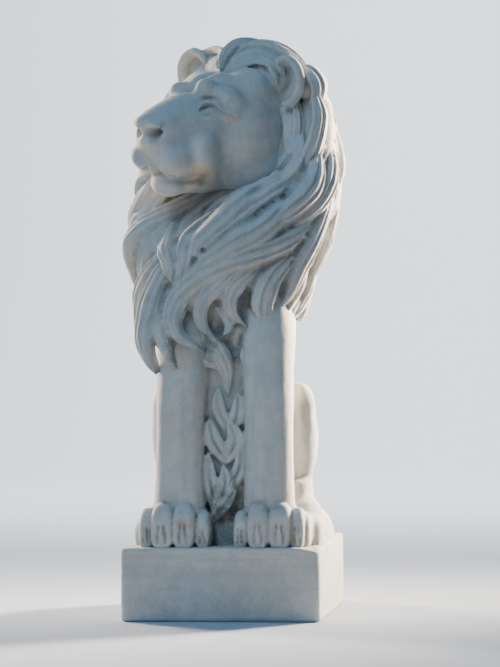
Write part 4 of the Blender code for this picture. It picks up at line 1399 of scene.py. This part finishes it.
def stone_material(name, strands=0.0, dirt_and_shade=1.0, streaks=UPRIGHT_STREAKS, stains=(), rough_places=()):
    """Weathered cast stone: mottled, streaked and paler on its ridges, with dirt and painted shade in its
    grooves and painted shade in its pinholes.

    Stains have a place, a radius and a colour, and rough places, which are stippled and dark, a place and a
    radius.
    """
    look = bpy.context.scene.stone_look
    paints = (look.stone_colour, look.warm_colour, look.grey_colour, look.dirt_and_shade_colour)
    pale, warm, grey, dark = ((*paint, 1.0) for paint in paints)
    material = bpy.data.materials.new(name)
    material.use_nodes = True
    tree = material.node_tree
    place = add_node(tree, "ShaderNodeTexCoord").outputs["Object"]
    mottle = group_node(tree, "stone mottle", Vector=place)
    hair = group_node(tree, "hair strands", Hair=attribute_of(tree, "hair", "Vector"))
    amount = attribute_of(tree, "hair_amount")
    gap = times(tree, times(tree, hair["Gap"], amount), strands)
    groove = attribute_of(tree, "groove")
    # The grooves darken with dirt and with painted shade, heavier in deep recesses and near the ground
    dirt_and_shade_mask = group_node(tree, "settled dirt", Vector=place, Groove=groove, Amount=dirt_and_shade)["Dirt"]
    streak = group_node(tree, "faint streaks", Vector=place, Scale=streaks)["Streak"]
    # Pinholes, and the pits of stippled places, are sunk and painted dark as the shade inside them
    hole = group_node(tree, "air bubble holes", Vector=place)["Hole"]
    pits = group_node(tree, "air bubble holes", Vector=place, **PITS)["Hole"]
    patches = stain_masks(tree, place, rough_places)
    for patch in patches:
        hole = arithmetic(tree, "MAXIMUM", hole, times(tree, pits, patch))

    layers = [
        (mottle["Cloud"], 1.0, warm),
        (mottle["Blotch"], BLOTCH_SHARE, grey),
        (attribute_of(tree, "ridge"), RIDGE_SHARE, pale),
        (gap, GAP_SHARE, grey),
        (streak, STREAK_SHARE, grey),
    ]
    layers += [(patch, ROUGH_SHARE, dark) for patch in patches]
    # Dirt and painted shade darken the grooves, and painted shade darkens the pinholes
    layers += [(dirt_and_shade_mask, DIRT_AND_SHADE_SHARE, dark), (hole, HOLE_SHADE_SHARE, dark)]
    for mask, (_, _, stain_colour) in zip(stain_masks(tree, place, stains), stains):
        layers.append((mask, STAIN_SHARE, (*stain_colour, 1.0)))
    colour = pale
    for mask, share, paint in layers:
        colour = blended(tree, "MIX", times(tree, mask, share), colour, paint)
    grain_tint = spread(tree, mottle["Grain"], 0.3, 0.7, 0.9, 1.08)
    tint = add_node(tree, "ShaderNodeCombineColor", Red=grain_tint, Green=grain_tint, Blue=grain_tint)

    height = times(tree, mottle["Grain"], GRAIN_HEIGHT)
    for relief, share in (
        (mottle["Blotch"], BLOTCH_HEIGHT),
        (times(tree, hair["Height"], amount), STRAND_HEIGHT * strands),
        (hole, -HOLE_DEPTH),
    ):
        height = arithmetic(tree, "ADD", height, times(tree, relief, share))
    bump = add_node(tree, "ShaderNodeBump", Strength=look.bump, Distance=MILLIMETRE, Height=height)

    shader = tree.nodes["Principled BSDF"]
    roughness = (look.roughness - SMOOTHER_GRAIN, look.roughness + ROUGHER_GRAIN)
    rough = spread(tree, mottle["Grain"], 0.2, 0.8, *roughness)
    put(tree, blended(tree, "MULTIPLY", 1.0, colour, tint.outputs[0]), shader.inputs["Base Color"])
    put(tree, rough, shader.inputs["Roughness"])
    put(tree, bump.outputs["Normal"], shader.inputs["Normal"])
    shader.inputs["Specular IOR Level"].default_value = SPECULAR_LEVEL
    return material


# Sizes, colours and light that a user would change


class LionSizes(bpy.types.PropertyGroup):
    lion_height: FloatProperty(
        name="Lion Height", description="Height of the lion over its plinth",
        default=0.975, unit="LENGTH",
    )
    plinth_width: FloatProperty(
        name="Plinth Width", description="Width of the plinth",
        default=0.380, unit="LENGTH",
    )
    plinth_depth: FloatProperty(
        name="Plinth Depth", description="Depth of the plinth",
        default=0.460, unit="LENGTH",
    )
    plinth_height: FloatProperty(
        name="Plinth Height", description="Height of the plinth",
        default=0.140, unit="LENGTH",
    )
    corner_radius: FloatProperty(
        name="Corner Radius", description="Radius of the plinth's upright corners",
        default=0.012, unit="LENGTH",
    )
    edge_radius: FloatProperty(
        name="Edge Radius", description="Softness of the plinth's level edges",
        default=0.006, unit="LENGTH",
    )
    head_turn: FloatProperty(
        name="Head Turn", description="Turn of the head to the lion's right",
        default=math.radians(37), subtype="ANGLE",
    )
    head_tilt: FloatProperty(
        name="Head Tilt", description="Lean of the head to the lion's left",
        default=math.radians(7), subtype="ANGLE",
    )
    head_nod: FloatProperty(
        name="Head Nod", description="How far the nose is lowered",
        default=math.radians(5), subtype="ANGLE",
    )


class StoneLook(bpy.types.PropertyGroup):
    stone_colour: FloatVectorProperty(
        name="Stone", description="Clean pale stone",
        default=(0.66, 0.64, 0.59), subtype="COLOR",
    )
    warm_colour: FloatVectorProperty(
        name="Warm Stone", description="Sandy clouds in the stone",
        default=(0.60, 0.54, 0.45), subtype="COLOR",
    )
    grey_colour: FloatVectorProperty(
        name="Grey Stone", description="Weathered grey blotches",
        default=(0.44, 0.45, 0.44), subtype="COLOR",
    )
    # Also the colour of the painted shade in the grooves and the pinholes
    dirt_and_shade_colour: FloatVectorProperty(
        name="Dirt", description="Greenish-grey dirt and painted shade in the grooves",
        default=(0.13, 0.13, 0.10), subtype="COLOR",
    )
    roughness: FloatProperty(
        name="Roughness", description="Roughness of the stone",
        default=0.88, subtype="FACTOR",
    )
    bump: FloatProperty(
        name="Grain Depth", description="Strength of the fine relief",
        default=0.8, subtype="FACTOR",
    )


class StudioLight(bpy.types.PropertyGroup):
    warm_light: FloatProperty(
        name="Warm Light", description="Power of the warm light behind the lion's left",
        default=90.0, unit="POWER",
    )
    rim_light: FloatProperty(
        name="Rim Light", description="Power of the weak light behind the lion's right",
        default=45.0, unit="POWER",
    )
    cool_light: FloatProperty(
        name="Cool Light", description="Power of the cool light over the lion",
        default=74.0, unit="POWER",
    )
    wall_light: FloatProperty(
        name="Wall Light", description="Power of the light on the pale wall",
        default=1300.0, unit="POWER",
    )
    sky: FloatProperty(name="Sky", description="Strength of the pale blue surroundings", default=0.17)


# Pieces


def plinth_block():
    """The plinth as a plain block with round upright corners and soft level edges, in metres."""
    sizes = bpy.context.scene.lion_sizes
    corner = sizes.corner_radius
    outline = []
    for quarter, (across, along) in enumerate(((1, 1), (-1, 1), (-1, -1), (1, -1))):
        middle_x = (sizes.plinth_width / 2 - corner) * across
        middle_y = (sizes.plinth_depth / 2 - corner) * along
        for turn in np.radians(np.linspace(0, 90, 6) + 90 * quarter):
            outline.append((middle_x + corner * math.cos(turn), middle_y + corner * math.sin(turn)))
    count = len(outline)
    points = [(x, y, 0.0) for x, y in outline] + [(x, y, sizes.plinth_height) for x, y in outline]
    faces = [list(range(count))[::-1], list(range(count, 2 * count))]
    faces += [[i, (i + 1) % count, (i + 1) % count + count, i + count] for i in range(count)]
    made = mesh_object("plinth_block", points, faces)
    soften = made.modifiers.new("soft edges", "BEVEL")
    soften.width = sizes.edge_radius
    soften.segments = 3
    soften.limit_method = "ANGLE"
    soften.angle_limit = math.radians(60)
    remesh = made.modifiers.new("fine faces", "REMESH")
    remesh.mode = "VOXEL"
    remesh.voxel_size = PLINTH_VOXEL
    return shape_of(made)


class LION_OT_head(bpy.types.Operator):
    """Build the head with its crown of hair"""

    bl_idname = "lion.head"
    bl_label = "Head"

    def execute(self, context):
        points, faces = carved_head()
        clay = Clay()
        clay.add(points, faces)
        clay.join(crown_clay())
        skin, faces = thinned(*skinned(clay, HEAD_SKIN_VOXEL, 1))
        hair = hair_on(skin, clay, fur_flow)
        turn = np.array(head_turn())
        skin = in_metres(skin @ turn[:3, :3].T + turn[:3, 3])
        stone = stone_material("head_stone", 0.8, 0.8, stains=HEAD_STAINS)
        finished_piece("lion_head", skin, faces, hair, stone)
        return {"FINISHED"}


class LION_OT_mane(bpy.types.Operator):
    """Build the mane with its locks"""

    bl_idname = "lion.mane"
    bl_label = "Mane"

    def execute(self, context):
        clay = mane_clay()
        skin, faces = skinned(clay, MANE_VOXEL, 1)
        deepen_valleys(skin, faces, hair_at(skin, clay))
        skin, faces = thinned(skin, faces)
        hair = hair_on(skin, clay, ground_flow)
        # The mane's grooves get the heaviest dirt and painted shade
        stone = stone_material("mane_stone", 1.0, 1.4, stains=THROAT_STAINS, rough_places=DIRTY_TIPS)
        finished_piece("lion_mane", in_metres(skin), faces, hair, stone)
        return {"FINISHED"}


class LION_OT_body(bpy.types.Operator):
    """Build the body, legs, paws and tail with the leaves between the forelegs"""

    bl_idname = "lion.body"
    bl_label = "Body"

    def execute(self, context):
        points, faces = skinned(body_clay(), BROAD_BODY_VOXEL, 16)
        carve_body(points, faces)
        clay = Clay()
        clay.add(points, faces)
        for side in (-1, 1):
            add_forepaw(clay, side)
        add_leaves(clay)
        skin, faces = skinned(clay, BODY_VOXEL, 2)
        carve_details(skin, faces)
        skin, faces = thinned(skin, faces)
        hair = hair_at(skin, clay)
        stone = stone_material("body_stone", 0.5, 1.3, stains=PAW_STAINS, rough_places=ROUGH_PLACES)
        finished_piece("lion_body", in_metres(skin), faces, hair, stone)
        return {"FINISHED"}


class LION_OT_plinth(bpy.types.Operator):
    """Build the plinth with its worn edges"""

    bl_idname = "lion.plinth"
    bl_label = "Plinth"

    def execute(self, context):
        points, faces = plinth_block()
        dent(points, WORN_CORNER, WORN_CORNER_RADIUS, WORN_CORNER_PUSH)
        bare = np.zeros((len(points), HAIR_COLUMNS))
        finished_piece("plinth", points, faces, bare, stone_material("plinth_stone", streaks=LEVEL_STREAKS))
        return {"FINISHED"}


def add_paper():
    """The floor: one sheet of pale paper that bends up into a wall far behind the lion."""
    bend = [math.radians(angle) for angle in range(0, 91, 5)]
    curve = [(FLOOR_START, 0)]
    curve += [(WALL_Y + BEND * (math.sin(a) - 1), BEND * (1 - math.cos(a))) for a in bend]
    curve += [(WALL_Y, WALL_HEIGHT)]
    points = [(side * FLOOR_HALF_WIDTH, y, z) for y, z in curve for side in (-1, 1)]
    faces = [[2 * row, 2 * row + 1, 2 * row + 3, 2 * row + 2] for row in range(len(curve) - 1)]
    floor = mesh_object("floor", points, faces)
    for face in floor.data.polygons:
        face.use_smooth = True
    paper = bpy.data.materials.new("pale_paper")
    paper.use_nodes = True
    shader = paper.node_tree.nodes["Principled BSDF"]
    shader.inputs["Base Color"].default_value = PAPER_COLOUR
    shader.inputs["Roughness"].default_value = PAPER_ROUGHNESS
    floor.data.materials.append(paper)


def add_light(name, power, place, target, size, colour, spread_angle):
    lamp = bpy.data.lights.new(name, "AREA")
    lamp.size = size
    lamp.energy = power
    lamp.color = colour
    lamp.spread = math.radians(spread_angle)
    made = bpy.data.objects.new(name, lamp)
    made.visible_camera = False
    made.location = place
    made.rotation_euler = (Vector(target) - Vector(place)).to_track_quat("-Z", "Y").to_euler()
    bpy.context.scene.collection.objects.link(made)


def add_sky(strength):
    """The pale blue surroundings, which light the shaded side."""
    world = bpy.data.worlds.new("studio")
    world.use_nodes = True
    background = world.node_tree.nodes["Background"]
    background.inputs["Color"].default_value = SKY_COLOUR
    background.inputs["Strength"].default_value = strength
    bpy.context.scene.world = world


def add_camera():
    """The camera at the photograph's angle, from the plinth's corners."""
    yaw, pitch, roll = (math.radians(angle) for angle in CAMERA_ANGLES)
    ahead = Vector((-math.sin(yaw) * math.cos(pitch), math.cos(yaw) * math.cos(pitch), math.sin(pitch)))
    level = Vector((math.cos(yaw), math.sin(yaw), 0))
    upright = level.cross(ahead)
    right = level * math.cos(roll) - upright * math.sin(roll)
    up = level * math.sin(roll) + upright * math.cos(roll)
    camera = bpy.data.objects.new("camera", bpy.data.cameras.new("camera"))
    turn = Matrix((right, up, -ahead)).transposed().to_4x4()
    camera.matrix_world = Matrix.Translation(CAMERA_PLACE) @ turn
    camera.data.sensor_fit = "VERTICAL"
    camera.data.sensor_height = SENSOR_HEIGHT
    camera.data.lens = FOCAL_PIXELS / PHOTO_HEIGHT * SENSOR_HEIGHT
    camera.data.clip_end = 100
    bpy.context.scene.collection.objects.link(camera)
    bpy.context.scene.camera = camera


class LION_OT_stage(bpy.types.Operator):
    """Set out the pale floor, the soft light and the camera"""

    bl_idname = "lion.stage"
    bl_label = "Stage"

    def execute(self, context):
        light = context.scene.studio_light
        add_paper()
        for name, settings in LIGHTS.items():
            add_light(name, getattr(light, name), *settings)
        add_sky(light.sky)
        add_camera()
        return {"FINISHED"}


class LION_PT_panel(bpy.types.Panel):
    """Lists the lion's settings and its pieces"""

    bl_label = "Sitting Lion"
    bl_idname = "LION_PT_panel"
    bl_space_type = "VIEW_3D"
    bl_region_type = "UI"
    bl_category = "Lion"

    def draw(self, context):
        for label, group in SETTINGS.items():
            box = self.layout.box()
            for setting in group.__annotations__:
                box.prop(getattr(context.scene, label), setting)
        for operator in OPERATORS:
            self.layout.operator(operator.bl_idname)


OPERATORS = (LION_OT_head, LION_OT_mane, LION_OT_body, LION_OT_plinth, LION_OT_stage)
SETTINGS = {"lion_sizes": LionSizes, "stone_look": StoneLook, "studio_light": StudioLight}
CLASSES = (*SETTINGS.values(), *OPERATORS, LION_PT_panel)


def register():
    for item in CLASSES:
        bpy.utils.register_class(item)
    for label, group in SETTINGS.items():
        setattr(bpy.types.Scene, label, PointerProperty(type=group))
    for name, make in GROUPS.items():
        make(name)


def unregister():
    for name in GROUPS:
        bpy.data.node_groups.remove(bpy.data.node_groups[name])
    for label in SETTINGS:
        delattr(bpy.types.Scene, label)
    for item in reversed(CLASSES):
        bpy.utils.unregister_class(item)


def main():
    register()
    bpy.ops.lion.head()
    bpy.ops.lion.mane()
    bpy.ops.lion.body()
    bpy.ops.lion.plinth()
    bpy.ops.lion.stage()


if __name__ == "__main__":
    main()
